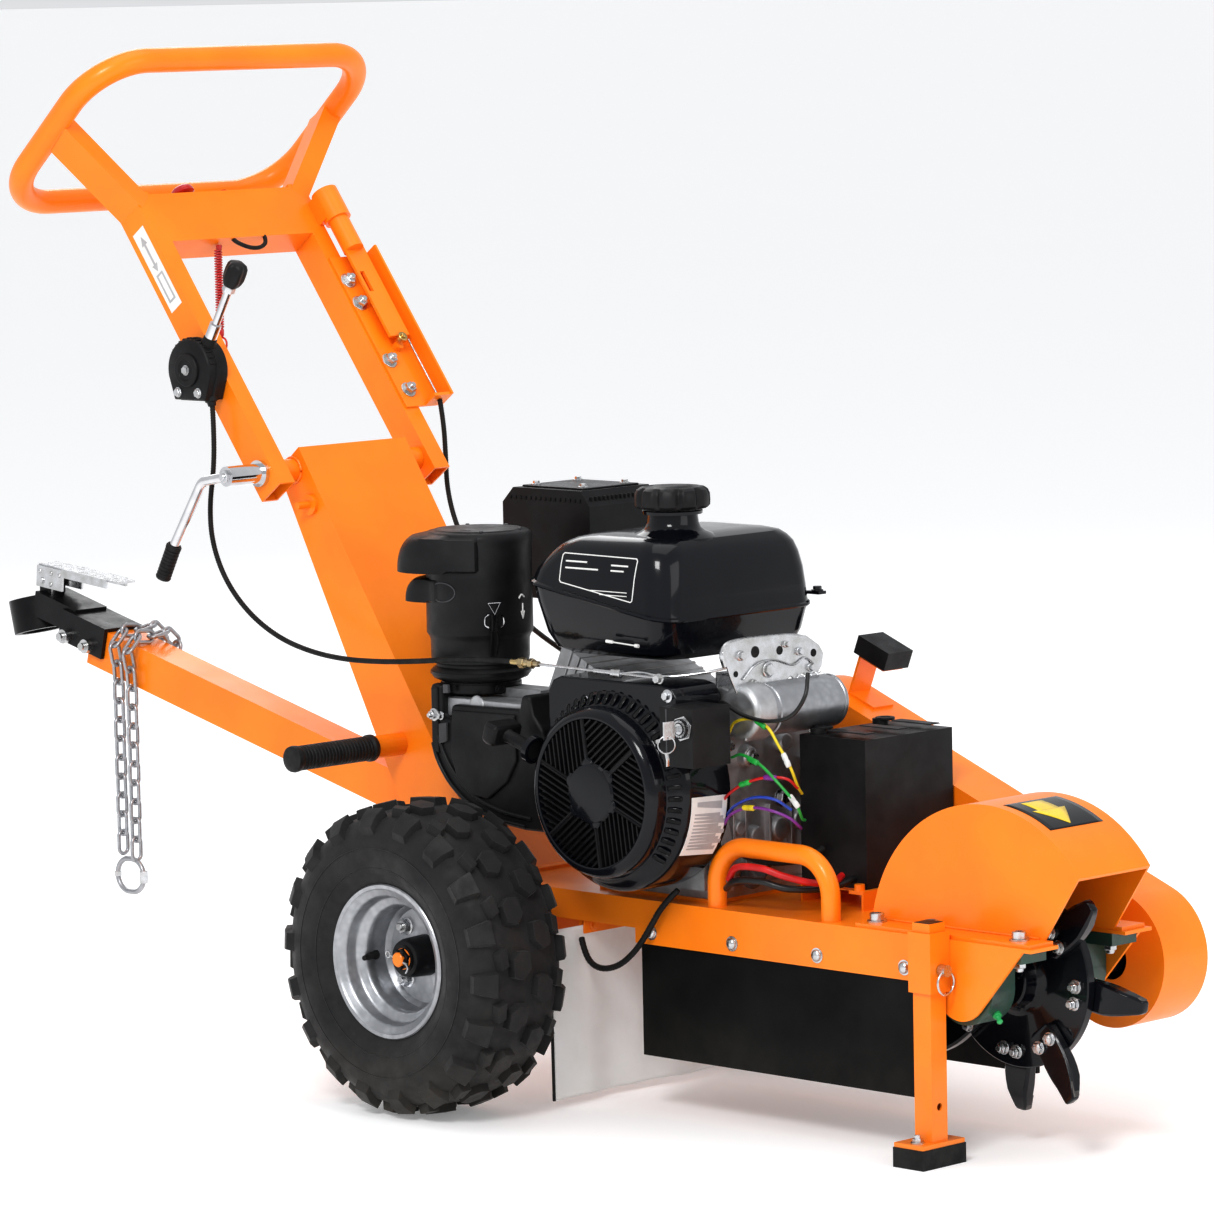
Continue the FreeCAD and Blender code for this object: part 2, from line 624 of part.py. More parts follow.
def cylinder_barrel(name):
    """The inclined cylinder, a box that leans back from the crankshaft."""
    box = DOC.addObject("Part::Box", name)
    box.Length, box.Width, box.Height = 155.0, 150.0, 118.0
    heading = FreeCAD.Rotation(V(0, 1, 0), math.degrees(math.atan2(-CYLINDER[1], CYLINDER[0])))
    corner = V(D["crank_x"] + CYLINDER[0] * 60, 0, D["crank_z"] + CYLINDER[1] * 60)
    side = heading.multVec(V(0, 0, 1))
    box.Placement = FreeCAD.Placement(corner - side * 59 - V(0, 68, 0), heading)
    return box


def engine_block():
    x, z = D["crank_x"], D["crank_z"]
    parts = [block("crankcase", (135, 290), (-90, 110), (262, 470)),
             block("engine_feet", (120, 292), (-72, 72), (250, 262)),
             rod("output_boss", (x, 105, z), (x, 138, z), 48),
             cylinder_barrel("cylinder"),
             block("carburettor", (-40, 40), (-96, -60), (432, 472))]
    node(fuse("engine_block", *parts), "engine_block")


def fan_housing():
    x, z = D["crank_x"], D["crank_z"]
    fan = D["fan_radius"]
    outer = [(-200, 0), (-200, 88), (-190, 97), (-172, 97), (-172, fan - 6), (-166, fan), (-91, fan), (-91, 0)]
    inner = [(-196, 0), (-196, 84), (-170, 92), (-168, fan - 8), (-163, fan - 3), (-80, fan - 3), (-80, 0)]
    skin = turned("fan_outer", "YZ_Plane", "H_Axis", outer, (x, 0, z))
    hollow = turned("fan_inner", "YZ_Plane", "H_Axis", inner, (x, 0, z))
    top = block("fan_top", (x - 98, 322), (-168, -91), (z, 503))
    top_hollow = block("fan_top_hollow", (x - 95, 319), (-165, -80), (z, 500))
    recess = rod("rope_exit", (x - 110, -186, 411), (x - 60, -186, 395), 8.5)
    node(cut("fan_housing", fuse("fan_whole", skin, top), hollow, top_hollow, recess), "fan_housing")


PULL = (-0.953, 0.0, 0.302)


def recoil_handle():
    start = (113.0, -186.0, 421.0)

    def out(distance, y=0.0):
        return (start[0] + PULL[0] * distance, start[1] + y, start[2] + PULL[2] * distance)

    stem = rod("pull_stem", out(0), out(46), 7.5)
    grip = rod("pull_grip", out(46, -22), out(46, 22), 12.5)
    node(fuse("recoil_handle", stem, grip), "recoil_handle")


def rounded_rectangle(xs, ys, corner, level, drop=0.0):
    """A rounded rectangle at a height; drop lowers its far end in x."""
    x0, x1 = xs
    y0, y1 = ys

    def at(x, y):
        return V(x, y, level - drop * (x - x0) / (x1 - x0))

    bite = corner * (1 - math.sqrt(0.5))
    steps = [((x0 + corner, y0), (x1 - corner, y0), (x1 - bite, y0 + bite)),
             ((x1, y0 + corner), (x1, y1 - corner), (x1 - bite, y1 - bite)),
             ((x1 - corner, y1), (x0 + corner, y1), (x0 + bite, y1 - bite)),
             ((x0, y1 - corner), (x0, y0 + corner), (x0 + bite, y0 + bite))]
    edges = []
    for index, (start, end, middle) in enumerate(steps):
        following = steps[(index + 1) % 4][0]
        edges.append(Part.LineSegment(at(*start), at(*end)).toShape())
        edges.append(Part.LineSegment(at(*end), at(*middle)).toShape())
        edges.append(Part.LineSegment(at(*middle), at(*following)).toShape())
    return Part.Wire(edges)


def tank_shape(inset):
    i = inset
    sections = [rounded_rectangle((98 + i, 270 - i), (-118 + i, 84 - i), 24, 524 + i),
                rounded_rectangle((80 + i, 284 - i), (-136 + i, 98 - i), 28, 545 + i),
                rounded_rectangle((68 + i, 289 - i), (-148 + i, 106 - i), 30, 610, 38),
                rounded_rectangle((84 + i, 284 - i), (-143 + i, 102 - i), 30, 640 - i),
                rounded_rectangle((100 + i, 276 - i), (-136 + i, 98 - i), 30, 655 - i),
                rounded_rectangle((124 + i, 262 - i), (-118 + i, 84 - i), 26, 662 - i)]
    return Part.makeLoft(sections, True, True)


FILLER = (222.0, -60.0)


def fuel_tank():
    hollow = tank_shape(3.0)
    seam = Part.Face(rounded_rectangle((64, 293), (-152, 110), 32, 611, 39)).extrude(V(0, 0, -3))
    shell = tank_shape(0.0).fuse(seam).cut(hollow)
    skin = shaped("tank_skin", shell)
    fx, fy = FILLER
    neck = rod("tank_neck", (fx, fy, 655), (fx, fy, 704), 25)
    bore = rod("tank_mouth", (fx, fy, 640), (fx, fy, 710), 21)
    tab = block("tank_tab", (270, 292), (108, 124), (583, 587))
    node(cut("fuel_tank", fuse("tank_whole", skin, neck, tab), bore), "fuel_tank")
    crown = bind(rod("cap_crown", (fx, fy, 690), (fx, fy, 716), D["cap_radius"]), Radius="Dims.cap_radius")
    seat = rod("cap_seat", (fx, fy, 680), (fx, fy, 704.2), 25.06)
    node(cut("fuel_cap", crown, seat), "fuel_cap")


CANISTER = (-64.0, -90.0)


def air_cleaner():
    x, y = CANISTER
    radius = D["canister_radius"]
    body = [(0, 478), (50, 478), (57, 490), (57, 528), (radius, 534), (radius, 638), (radius - 2, 650),
            (radius - 10, 655), (0, 655)]
    canister = turned("canister", "XZ_Plane", "V_Axis", body, (x, y, 0))
    hood = block("intake_hood", (x - 84, x - 40), (y - 46, y + 16), (572, 632))
    latch = block("canister_latch", (x + 14, x + 30), (y - 66, y - 54), (520, 566))
    node(fuse("air_cleaner", canister, hood, latch), "air_cleaner")


def intake_shroud():
    outline = [(-88, 477.5), (-88, 404), ((-38, 343), (62, 318)), (112, 318), (112, 477.5)]
    outer = pad("shroud_outer", "XZ_Plane", -150, -97, outline)
    inner_line = [(-84, 473), (-84, 406), ((-35, 347), (62, 322)), (112, 322), (112, 473)]
    inner = pad("shroud_inner", "XZ_Plane", -146, -90, inner_line)
    x, z = D["crank_x"], D["crank_z"]
    clear = rod("shroud_clear", (x, -180, z), (x, -80, z), D["fan_radius"] + 0.3)
    beside = block("shroud_beside", (x - 98.3, 140), (-180, -80), (z - 5, 520))
    node(cut("intake_shroud", outer, inner, clear, beside), "intake_shroud")


def muffler_cover():
    line = [(-150, 560), (-5, 560), (-5, 672), (-20, 690), (-132, 690), (-150, 672)]
    skin = pad("muffler_skin", "XZ_Plane", 35, 150, line)
    inner_line = [(-147, 550), (-8, 550), (-8, 671), (-21, 687), (-131, 687), (-147, 671)]
    hollow = pad("muffler_hollow", "XZ_Plane", 38, 147, inner_line)
    floor = block("muffler_floor", (-148, -7), (37, 148), (560, 563))
    pipe = rod("exhaust_pipe", (40, 60, 486), (-60, 78, 562), 17)
    whole = fuse("muffler_whole", cut("muffler_shell", skin, hollow), floor, pipe)
    node(cut("muffler_cover", whole, cylinder_barrel("cylinder_clear")), "muffler_cover")


STARTER = (346.0, 468.0)


def starter_motor():
    x, z = STARTER
    can = [(-60, 0), (-60, 30), (60, 30), (68, 24), (71, 12), (71, 0)]
    parts = [turned("starter_can", "YZ_Plane", "H_Axis", can, (x, 0, z)),
             rod("starter_nose", (x, -90, z), (x, -58, z), 33.5),
             block("starter_mount", (290.05, x), (-90, -62), (z - 20, z + 16)),
             rod("starter_terminal", (x, 30, z - 28), (x, 30, z - 36), 5)]
    node(fuse("starter_motor", *parts), "starter_motor")


def governor_plate():
    parts = [block("governor_face", (343, 346), (-107, 55), (506, 545)),
             block("governor_shelf", (284, 344), (-60, -20), (504, 507)),
             block("governor_foot", (284, 287), (-60, -20), (470, 506)),
             rod("throttle_fitting", (62, -163, 514), (106, -163, 514), 4.8),
             rod("throttle_rod", (104, -163, 514), (300, -163, 514), 2.2),
             rod("throttle_swivel", (296, -163, 514), (344, -104, 514), 2.6)]
    node(fuse("governor_plate", *parts), "governor_plate")


def control_box():
    body = block("control_case", (322.05, 372), (-190, -130), (418, 484))
    lock = rod("lock_barrel", (357, -196, 462), (357, -189, 462), 11)
    hole = rod("lock_bore", (357, -200, 462), (357, -180, 462), 6.05)
    fan_room = rod("fan_room", (D["crank_x"], -200, D["crank_z"]), (D["crank_x"], -80, D["crank_z"]),
                   D["fan_radius"] + 0.4)
    node(cut("control_box", fuse("control_whole", body, lock), hole, fan_room), "control_box")
    plug = rod("key_plug", (357, -197, 462), (357, -181, 462), 6.0)
    bow = block("key_bow", (355.8, 358.2), (-220, -204), (452, 472))
    shank = block("key_shank", (355.8, 358.2), (-205, -196), (459, 465))
    node(fuse("ignition_key", plug, bow, shank), "ignition_key")


# ---------------------------------------------------------------- battery, hour meter, lift handle
def battery_box():
    box = bind(block("battery_case", (357, 456), (-1, 146), (268.1, 436)), Height="Dims.battery_height")
    bosses = [rod("battery_boss", (372, 14, 434), (372, 14, 443), 9),
              rod("battery_boss", (372, 118, 434), (372, 118, 443), 9)]
    node(fuse("battery_box", box, *bosses), "battery_box")


def cover_turn():
    run = V(D["cutter_x"] - D["crank_x"], 0, D["cutter_z"] - D["crank_z"])
    return FreeCAD.Rotation(V(0, 1, 0), math.degrees(math.atan2(-run.z, run.x)))


def on_cover(name, along, ys, up):
    """A box in the belt guard's own slope: along it, across, and up from the crankshaft."""
    x, z = D["crank_x"], D["crank_z"]
    return block(name, (x + along[0], x + along[1]), ys, (z + up[0], z + up[1]), cover_turn(), V(x, 0, z))


def meter_bracket():
    return [on_cover("meter_foot", (18, 60), (176, 210), (91, 95)),
            on_cover("meter_post", (18, 21), (176, 210), (94, 142)),
            on_cover("meter_shelf", (18, 58), (176, 210), (140, 143))]


def hour_meter():
    node(on_cover("meter_case", (12, 62), (172, 214), (143.05, 165)), "hour_meter")


def lift_handle():
    y, top = -84.0, 316.0
    points = [(304, y, 246), (304, y, top), (477, y, top), (477, y, 246)]
    node(tube("lift_tube", points, D["lift_tube_radius"], 45.0), "lift_handle")


# ---------------------------------------------------------------- belt drive
def rear_cover_outline(radius, length):
    """The engine end of the belt guard, larger than the front and cut square."""
    turn = cover_turn()
    centre = V(D["crank_x"], 0, D["crank_z"])

    def at(along, up):
        point = centre + turn.multVec(V(along, 0, up))
        return (point.x, point.z)

    return [at(0, radius), at(length, radius), at(length, -radius), at(0, -radius),
            (at(-radius, 0), at(0, radius))]


def belt_guard():
    near, far, sheet = D["cover_near"], D["cover_far"], D["cover_sheet"]
    radius = D["cover_radius"]
    outer = fuse("guard_outer", pad("guard_front", "XZ_Plane", near, far, belt_race(radius)),
                 pad("guard_rear", "XZ_Plane", near, far, rear_cover_outline(92.0, 115.0)))
    inner = [pad("guard_front_room", "XZ_Plane", near + sheet, far - sheet, belt_race(radius - sheet)),
             pad("guard_rear_room", "XZ_Plane", near + sheet, far - sheet,
                 rear_cover_outline(92.0 - sheet, 115.0 - sheet))]
    x, z = D["crank_x"], D["crank_z"]
    holes = [rod("crank_window", (x, near - 5, z), (x, near + 10, z), 30),
             rod("cutter_window", (D["cutter_x"], near - 5, D["cutter_z"]),
                 (D["cutter_x"], near + 10, D["cutter_z"]), 24)]
    shell = cut("guard_shell", outer, *inner, *holes)
    node(fuse("belt_guard", shell, *meter_bracket()), "belt_guard")


def pulley(name, seat, bore, at, shaft=None):
    profile = [(172, bore), (172, seat + 6), (175.5, seat + 6), (175.7, seat), (200.3, seat), (200.5, seat + 6),
               (204, seat + 6), (204, bore)]
    wheel_body = turned(name + "_wheel", "YZ_Plane", "H_Axis", profile, at)
    if shaft is None:
        return node(wheel_body, name)
    return node(fuse(name, wheel_body, shaft), name)


def belt_drive():
    x, z = D["crank_x"], D["crank_z"]
    shaft = rod("crankshaft", (x, 138.2, z), (x, 212, z), 12.6)
    pulley("engine_pulley", 54.0, 12.5, (x, 0, z), shaft)
    pulley("cutter_pulley", 58.0, D["shaft_radius"], (D["cutter_x"], 0, D["cutter_z"]))
    outer = belt_race(63.4, 67.4)
    inner = belt_race(54.4, 58.4)
    node(pad("belt_loop", "XZ_Plane", 176.5, 199.5, outer, inner), "drive_belt")


# ---------------------------------------------------------------- cutter
def cutter_shaft():
    x, z = D["cutter_x"], D["cutter_z"]
    node(rod("cutter_shaft", (x, -96, z), (x, 210, z), D["shaft_radius"], "Dims.shaft_radius"), "cutter_shaft")


def bearing_blocks():
    x, z = D["cutter_x"], D["cutter_z"]
    blocks = []
    for side in (-1, 1):
        low, high = sorted((side * 55, side * 96.5))
        base = block("bearing_base", (x - 83, x + 83), (low, high), (228, 241.9))
        body = rod("bearing_body", (x, side * 58, z), (x, side * 95, z), 41)
        web = block("bearing_web", (x - 41, x + 41), (min(side * 58, side * 95), max(side * 58, side * 95)),
                    (z + 5, 232))
        tools = [rod("bearing_bore", (x, side * 50, z), (x, side * 99, z), D["shaft_radius"] + 0.05)]
        for bolt_x, bolt_y in BEARING_BOLTS:
            tools.append(rod("bearing_hole", (bolt_x, side * bolt_y, 220), (bolt_x, side * bolt_y, 250), 5.15))
        blocks.append(cut("bearing", fuse("bearing_whole", base, body, web), *tools))
    node(fuse("bearing_blocks", *blocks), "bearing_blocks")


FIRST_TOOTH = -53.0


def tooth_places():
    """Angle about the shaft and side of the disc of each tooth."""
    count = int(D["tooth_count"])
    return [(math.radians(FIRST_TOOTH + 360.0 / count * k), 1 if k % 2 else -1) for k in range(count)]


def around(angle, radius, sideways=0.0):
    x = D["cutter_x"] + radius * math.cos(angle) - sideways * math.sin(angle)
    z = D["cutter_z"] + radius * math.sin(angle) + sideways * math.cos(angle)
    return x, z


def tooth_shape(angle, side):
    """A bent arm that grows from the disc's face and leans out to its tip."""
    reach = D["tooth_reach"]
    face = D["disc_sheet"] / 2 + 0.05
    spans = [(66, 17, face, face + 13), (112, 18, face, face + 16), (134, 14, face + 2, face + 20),
             (reach, 8, face + 14, face + 25)]
    sections = []
    for radius, half, low, high in spans:
        corners = []
        for sideways, y in ((-half, low), (half, low), (half, high), (-half, high)):
            x, z = around(angle, radius, sideways)
            corners.append(V(x, side * y, z))
        sections.append(Part.makePolygon(corners + [corners[0]]))
    return Part.makeLoft(sections, True, True)


def bolt_holes(name, radius):
    holes = []
    for angle, side in tooth_places():
        for sideways in (-9.5, 9.5):
            x, z = around(angle, 82, sideways)
            holes.append(rod(name, (x, -40, z), (x, 40, z), radius))
    return holes


def cutter():
    x, z = D["cutter_x"], D["cutter_z"]
    half = D["disc_sheet"] / 2
    disc = bind(rod("disc", (x, -half, z), (x, half, z), D["disc_radius"]), Radius="Dims.disc_radius",
                Height="Dims.disc_sheet")
    hub = rod("disc_hub", (x, -30, z), (x, 30, z), 34)
    bore = rod("disc_bore", (x, -40, z), (x, 40, z), D["shaft_radius"])
    node(cut("cutter_disc", fuse("disc_whole", disc, hub), bore, *bolt_holes("disc_hole", 5.1)), "cutter_disc")
    teeth = [shaped("tooth", tooth_shape(angle, side)) for angle, side in tooth_places()]
    node(cut("cutter_teeth", fuse("teeth_whole", *teeth), *bolt_holes("tooth_hole", 5.1)), "cutter_teeth")
    bolts = []
    for angle, side in tooth_places():
        for sideways in (-9.5, 9.5):
            bx, bz = around(angle, 82, sideways)
            bolts.append(rod("tooth_bolt", (bx, side * -13, bz), (bx, side * 25, bz), 5.0))
            bolts.append(rod("tooth_bolt_head", (bx, side * 20.8, bz), (bx, side * 27, bz), 8.0))
            bolts.append(rod("tooth_bolt_nut", (bx, side * -13, bz), (bx, side * -6.05, bz), 8.0))
    node(fuse("tooth_bolts", *bolts), "tooth_bolts")


def cutter_guard():
    top = D["deck_top"] + 0.05
    outline = [(516.3, top), ((623.6, 380), (813.8, 321.2)), (763, top)]
    room = [(519.4, top - 20), (519.4, top), ((624.7, 377.2), (811.2, 318)), (900, 318), (900, top - 20)]
    hood = cut("hood", pad("hood_outer", "XZ_Plane", -60, 60, outline),
               pad("hood_room", "XZ_Plane", -57, 57, room))
    flanges, holes = [], []
    for side in (-1, 1):
        low, high = sorted((side * 57.5, side * 96))
        flanges.append(block("guard_flange", (524, 775), (low, high), (top, top + 4)))
        for bolt_x, bolt_y in GUARD_BOLTS:
            holes.append(rod("guard_hole", (bolt_x, side * bolt_y, 240), (bolt_x, side * bolt_y, 256), 5.15))
    node(cut("cutter_guard", fuse("guard_whole", hood, *flanges), *holes), "cutter_guard")


def deck_bolts():
    bolts = []
    for side in (-1, 1):
        for bolt_x, bolt_y in GUARD_BOLTS:
            nut = 228 if bolt_x > GUARD_BOLTS[0][0] else 242
            y = side * bolt_y
            bolts.append(rod("guard_bolt", (bolt_x, y, nut - 12), (bolt_x, y, 259), 5.0))
            bolts.append(rod("guard_bolt_head", (bolt_x, y, 250.1), (bolt_x, y, 260), 8.5))
            bolts.append(rod("guard_bolt_nut", (bolt_x, y, nut - 9), (bolt_x, y, nut - 0.1), 8.5))
        for bolt_x in FLANGE_BOLTS:
            bolts.append(rod("flange_bolt", (bolt_x, side * 85, 209), (bolt_x, side * 106, 209), 4.0))
            bolts.append(rod("flange_bolt_head", (bolt_x, side * 101.1, 209), (bolt_x, side * 107, 209), 7.0))
            bolts.append(rod("flange_bolt_nut", (bolt_x, side * 85, 209), (bolt_x, side * 91.8, 209), 7.0))
    node(fuse("deck_bolts", *bolts), "deck_bolts")


# ---------------------------------------------------------------- flaps, curtain, stand
def side_flaps():
    sheet = D["flap_sheet"]
    flaps = []
    for side in (-1, 1):
        low, high = sorted((side * (96.9 - sheet), side * 96.9))
        flaps.append(bind(block("flap", (196, 622), (low, high), (66, 225)), Width="Dims.flap_sheet"))
    holes = [rod("flap_hole", (x, -110, 209), (x, 110, 209), 4.15) for x in FLANGE_BOLTS]
    node(cut("side_flaps", fuse("flap_pair", *flaps), *holes), "side_flaps")


def chip_curtain():
    node(block("curtain", (99.3, 101.8), (-150, 150), (8, 206)), "chip_curtain")


def stand():
    x, y, half = D["leg_x"], D["leg_y"], D["leg_size"] / 2
    tube_body = bind(block("leg_tube", (x - half, x + half), (y - half, y + half), (26, 266)),
                     Length="Dims.leg_size", Width="Dims.leg_size")
    room = block("leg_hollow", (x - half + 2.5, x + half - 2.5), (y - half + 2.5, y + half - 2.5), (30, 262))
    plate = block("foot_plate", (x - 24, x + 18), (y - 34, y + 34), (22, 27))
    holes = [rod("leg_hole", (x - 20, y, level), (x + 20, y, level), 4.2) for level in (65, 215)]
    node(cut("stand_leg", fuse("leg_whole", cut("leg_skin", tube_body, room), plate), *holes), "stand_leg")
    node(block("foot_pad", (x - 25, x + 19), (y - 35, y + 35), (0, 21.95)), "stand_pad")
    shank = rod("pin_shank", (x + half + 0.4, y, 215), (x + 20, y, 215), 4.0)
    head = rod("pin_head", (x + 17, y, 215), (x + 27, y, 215), 6.5)
    ring = DOC.addObject("Part::Torus", "pin_ring")
    ring.Radius1, ring.Radius2 = 13.0, 1.4
    ring.Placement = FreeCAD.Placement(V(x + 24, y, 202), FreeCAD.Rotation(V(0, 1, 0), 90))
    node(fuse("stand_pin", shank, head, ring), "stand_pin")


# ---------------------------------------------------------------- chain
LINK_LENGTH, LINK_WIDTH, LINK_WIRE, LINK_PITCH = 34.0, 19.0, 4.8, 23.9
STRANDS = (-777.0, -752.0)


def race_ring(centre, along, side, length, width, wire):
    """A round wire bent to a race-track, its long way on one direction and its width on another."""
    end = width / 2 - wire
    half = length / 2 - wire - end
    along = V(along).normalize()
    side = (side - along * side.dot(along)).normalize()

    def at(u, v):
        return centre + along * u + side * v

    halves = []
    for sign in (1, -1):
        path = Part.Wire([Part.LineSegment(at(-half * sign, end * sign), at(half * sign, end * sign)).toShape(),
                          Part.Arc(at(half * sign, end * sign), at((half + end) * sign, 0),
                                   at(half * sign, -end * sign)).toShape()])
        first = path.OrderedEdges[0]
        start = first.valueAt(first.FirstParameter)
        ring = Part.Wire(Part.Circle(start, first.tangentAt(first.FirstParameter), wire).toShape())
        halves.append(path.makePipeShell([ring], True, False))
    return halves[0].fuse(halves[1])


def strand_joints(x):
    """Where neighbouring links meet: from the far side over the bar, then down the near side."""
    top = bar_z(x) + 26
    step = LINK_PITCH
    corner = step * math.sqrt(0.5)
    points = [V(x, 35, top - 45), V(x, step + corner + 2, top + 14.6 - corner), V(x, step, top + 14.6), V(x, 0, top + 10),
              V(x, -step, top + 12), V(x, -step - corner, top + 12 - corner)]
    while points[-1].z > 205:
        here = points[-1]
        sway = min(5.0, abs(here.y + 34.5))
        points.append(V(x, here.y + sway, here.z - math.sqrt(step * step - sway * sway)))
    return points


def safety_chain():
    links = []
    bottoms = []
    for x in STRANDS:
        joints = strand_joints(x)
        bottoms.append(joints[-1].z)
        last = len(joints) - 2
        for index, (start, end) in enumerate(zip(joints, joints[1:])):
            upright = (last - index) % 2 == 0
            run = end - start
            if index == 0:
                start = end - run.normalize() * LINK_PITCH
            side = V(1, 0, 0).cross(end - start) if upright else V(1, 0, 0)
            links.append(shaped("link", race_ring((start + end) / 2, end - start, side, LINK_LENGTH, LINK_WIDTH,
                                                  LINK_WIRE / 2)))
    level = min(bottoms)
    clip_high, clip_wide, clip_wire = 48.0, 56.0, 3.2
    centre = V(sum(STRANDS) / 2, -34.5, level + clip_wire + 0.3 - LINK_WIRE / 2 - clip_high / 2)
    clip = race_ring(centre, V(1, 0, 0), V(0, 0, 1), clip_wide, clip_high, clip_wire)
    links.append(shaped("clip", clip))
    group = DOC.addObject("Part::Compound", "safety_chain")
    group.Links = links
    node(group, "safety_chain")


def side_grip():
    sleeve = bind(rod("grip_outer", (-207, -133, 391), (-207, -263, 391), D["grip_radius"]),
                  Radius="Dims.grip_radius")
    room = rod("grip_room", (-207, -130, 391), (-207, -258.2, 391), 12.1)
    node(cut("side_grip", sleeve, room), "side_grip")


def machine_cables():
    throttle_run = cable("throttle cable, lower run",
                         [(-459.3, -156, 665.2), (-455, -156, 622), (-433, -156, 578), (-393, -156, 541),
                          (-341, -156, 515), (-284, -157, 502), (-226, -158, 497), (-168, -158.2, 498),
                          (-110, -158, 502), (-52, -158.5, 508), (4, -161, 512.5), (61.8, -163, 514)], 3.2)
    clutch_run = cable("clutch cable, lower run",
                       [(-382, 165, 705.2), (-380, 164, 666), (-362, 161, 622), (-328, 156, 583),
                        (-286, 149, 550), (-238, 141, 521), (-184, 134, 497), (-128, 130, 476), (-70, 129, 457),
                        (-12, 130, 440), (44, 134, 425), (98, 141, 412), (137.5, 146.2, 397)], 3.2)
    lead = cable("battery lead", [(291.6, -60, 311.6), (322, -64, 304), (352, -58, 297), (378, -40, 297),
                                  (392, -18, 303), (395, -5.8, 310)], 4.2)
    loom = cable("wiring loom", [(109, -106.5, 193), (120, -112, 172), (146, -116, 161), (178, -116, 168),
                                 (206, -115, 190), (228, -114, 219), (246, -112, 246), (262, -104, 262.5)], 3.6)
    group = DOC.addObject("Part::Compound", "machine_cables")
    group.Links = [shaped("throttle_lower", throttle_run), shaped("clutch_lower", clutch_run),
                   shaped("battery_lead", lead), shaped("wiring_loom", loom)]
    node(group, "machine_cables")


def coupler_latch():
    x, z = LATCH_PIVOT
    lean = FreeCAD.Rotation(V(0, 1, 0), 6.0)
    pivot = V(x, 0, z)
    plate = block("latch_plate", (x - 10, x + 143), (-15, 15), (z + 18, z + 21), lean, pivot)
    ears = [block("latch_ear", (x - 10, x + 40), (low, low + 3), (z - 8, z + 19), lean, pivot) for low in (-18, 15)]
    skirts = [block("latch_skirt", (x + 38, x + 125), (low, low + 3), (z + 10, z + 21), lean, pivot)
              for low in (-18, 15)]
    tongue = block("latch_tongue", (x - 6, x + 6), (-8, 8), (z + 3, z + 19), lean, pivot)
    pin = rod("latch_pin", (x, -20, z), (x, 20, z), 4.0)
    node(fuse("coupler_latch", plate, *ears, *skirts, tongue, pin), "coupler_latch")


def check_and_write():
    DOC.recompute()
    faulty = [obj.Name for obj in DOC.Objects if "Invalid" in obj.State or "Error" in obj.State]
    if faulty:
        raise RuntimeError("features that failed: %s" % ", ".join(faulty))
    os.makedirs("parts", exist_ok=True)
    low, high = V(1e9, 1e9, 1e9), V(-1e9, -1e9, -1e9)
    for obj in NODES:
        shape = obj.Shape
        if shape.isNull() or not shape.isValid() or not shape.Solids:
            raise RuntimeError("%s has no valid solid" % obj.Label)
        box = shape.BoundBox
        low = V(min(low.x, box.XMin), min(low.y, box.YMin), min(low.z, box.ZMin))
        high = V(max(high.x, box.XMax), max(high.y, box.YMax), max(high.z, box.ZMax))
        shape.exportStep("parts/%s.step" % obj.Label)
    print("%d nodes, low %s, high %s" % (len(NODES), low, high))


def build():
    write_sheet()
    for make in (deck, column, axle_beam, tow_bar, tow_coupler, coupler_latch, safety_chain,
                 side_grip, handle_loop, cross_plate, stop_button, stop_switch_plug, throttle, clamp_crank,
                 clutch_slider, handle_cables, stop_lanyard, engine_block, fan_housing, recoil_handle, fuel_tank,
                 air_cleaner, intake_shroud, muffler_cover, starter_motor, governor_plate, control_box,
                 battery_box, hour_meter, lift_handle, belt_guard, belt_drive, cutter_shaft, bearing_blocks,
                 cutter, cutter_guard, deck_bolts, side_flaps, chip_curtain, stand, machine_cables):
        make()
    for side, name in ((-1, "near"), (1, "far")):
        handle_arm(side, name)
        wheel(side, name)
    check_and_write()


build()
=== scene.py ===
from math import cos, pi, radians, sin, sqrt, tan

import bmesh
import bpy
from mathutils import Matrix, Vector


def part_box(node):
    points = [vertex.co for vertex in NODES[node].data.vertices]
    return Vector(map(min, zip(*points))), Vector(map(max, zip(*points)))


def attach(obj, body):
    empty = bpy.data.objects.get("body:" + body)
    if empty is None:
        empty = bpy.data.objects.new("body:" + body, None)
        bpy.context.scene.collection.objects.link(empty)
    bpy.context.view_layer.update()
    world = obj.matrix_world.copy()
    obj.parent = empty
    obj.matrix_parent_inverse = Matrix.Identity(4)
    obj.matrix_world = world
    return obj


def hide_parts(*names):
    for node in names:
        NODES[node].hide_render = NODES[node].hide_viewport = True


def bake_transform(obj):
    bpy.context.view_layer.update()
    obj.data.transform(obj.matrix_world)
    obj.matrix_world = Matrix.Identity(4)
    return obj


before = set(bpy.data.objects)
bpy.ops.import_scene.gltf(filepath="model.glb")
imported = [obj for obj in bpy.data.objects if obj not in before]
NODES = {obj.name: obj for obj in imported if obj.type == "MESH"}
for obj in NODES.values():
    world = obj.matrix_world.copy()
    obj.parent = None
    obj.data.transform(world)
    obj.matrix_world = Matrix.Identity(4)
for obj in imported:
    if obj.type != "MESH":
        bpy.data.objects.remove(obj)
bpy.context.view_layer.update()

AXLE = 0.087722          # metres from the machine's middle forward to its wheel axle
UP = Vector((0, 0, 1))
ACROSS = Vector((0, 1, 0))
AHEAD = Vector((1, 0, 0))

# ------------------------------------------------------------------ camera, floor and light
CAMERA_TURN = (44.7615, 6.1256, -1.1585)          # yaw, pitch and roll in degrees
CAMERA_AT = (4.89716, -4.79583, 1.27838)
LENS, SENSOR, SHIFT, FAR_CLIP = 173.77, 36.0, (0.0008, 0.0056), 1500.0
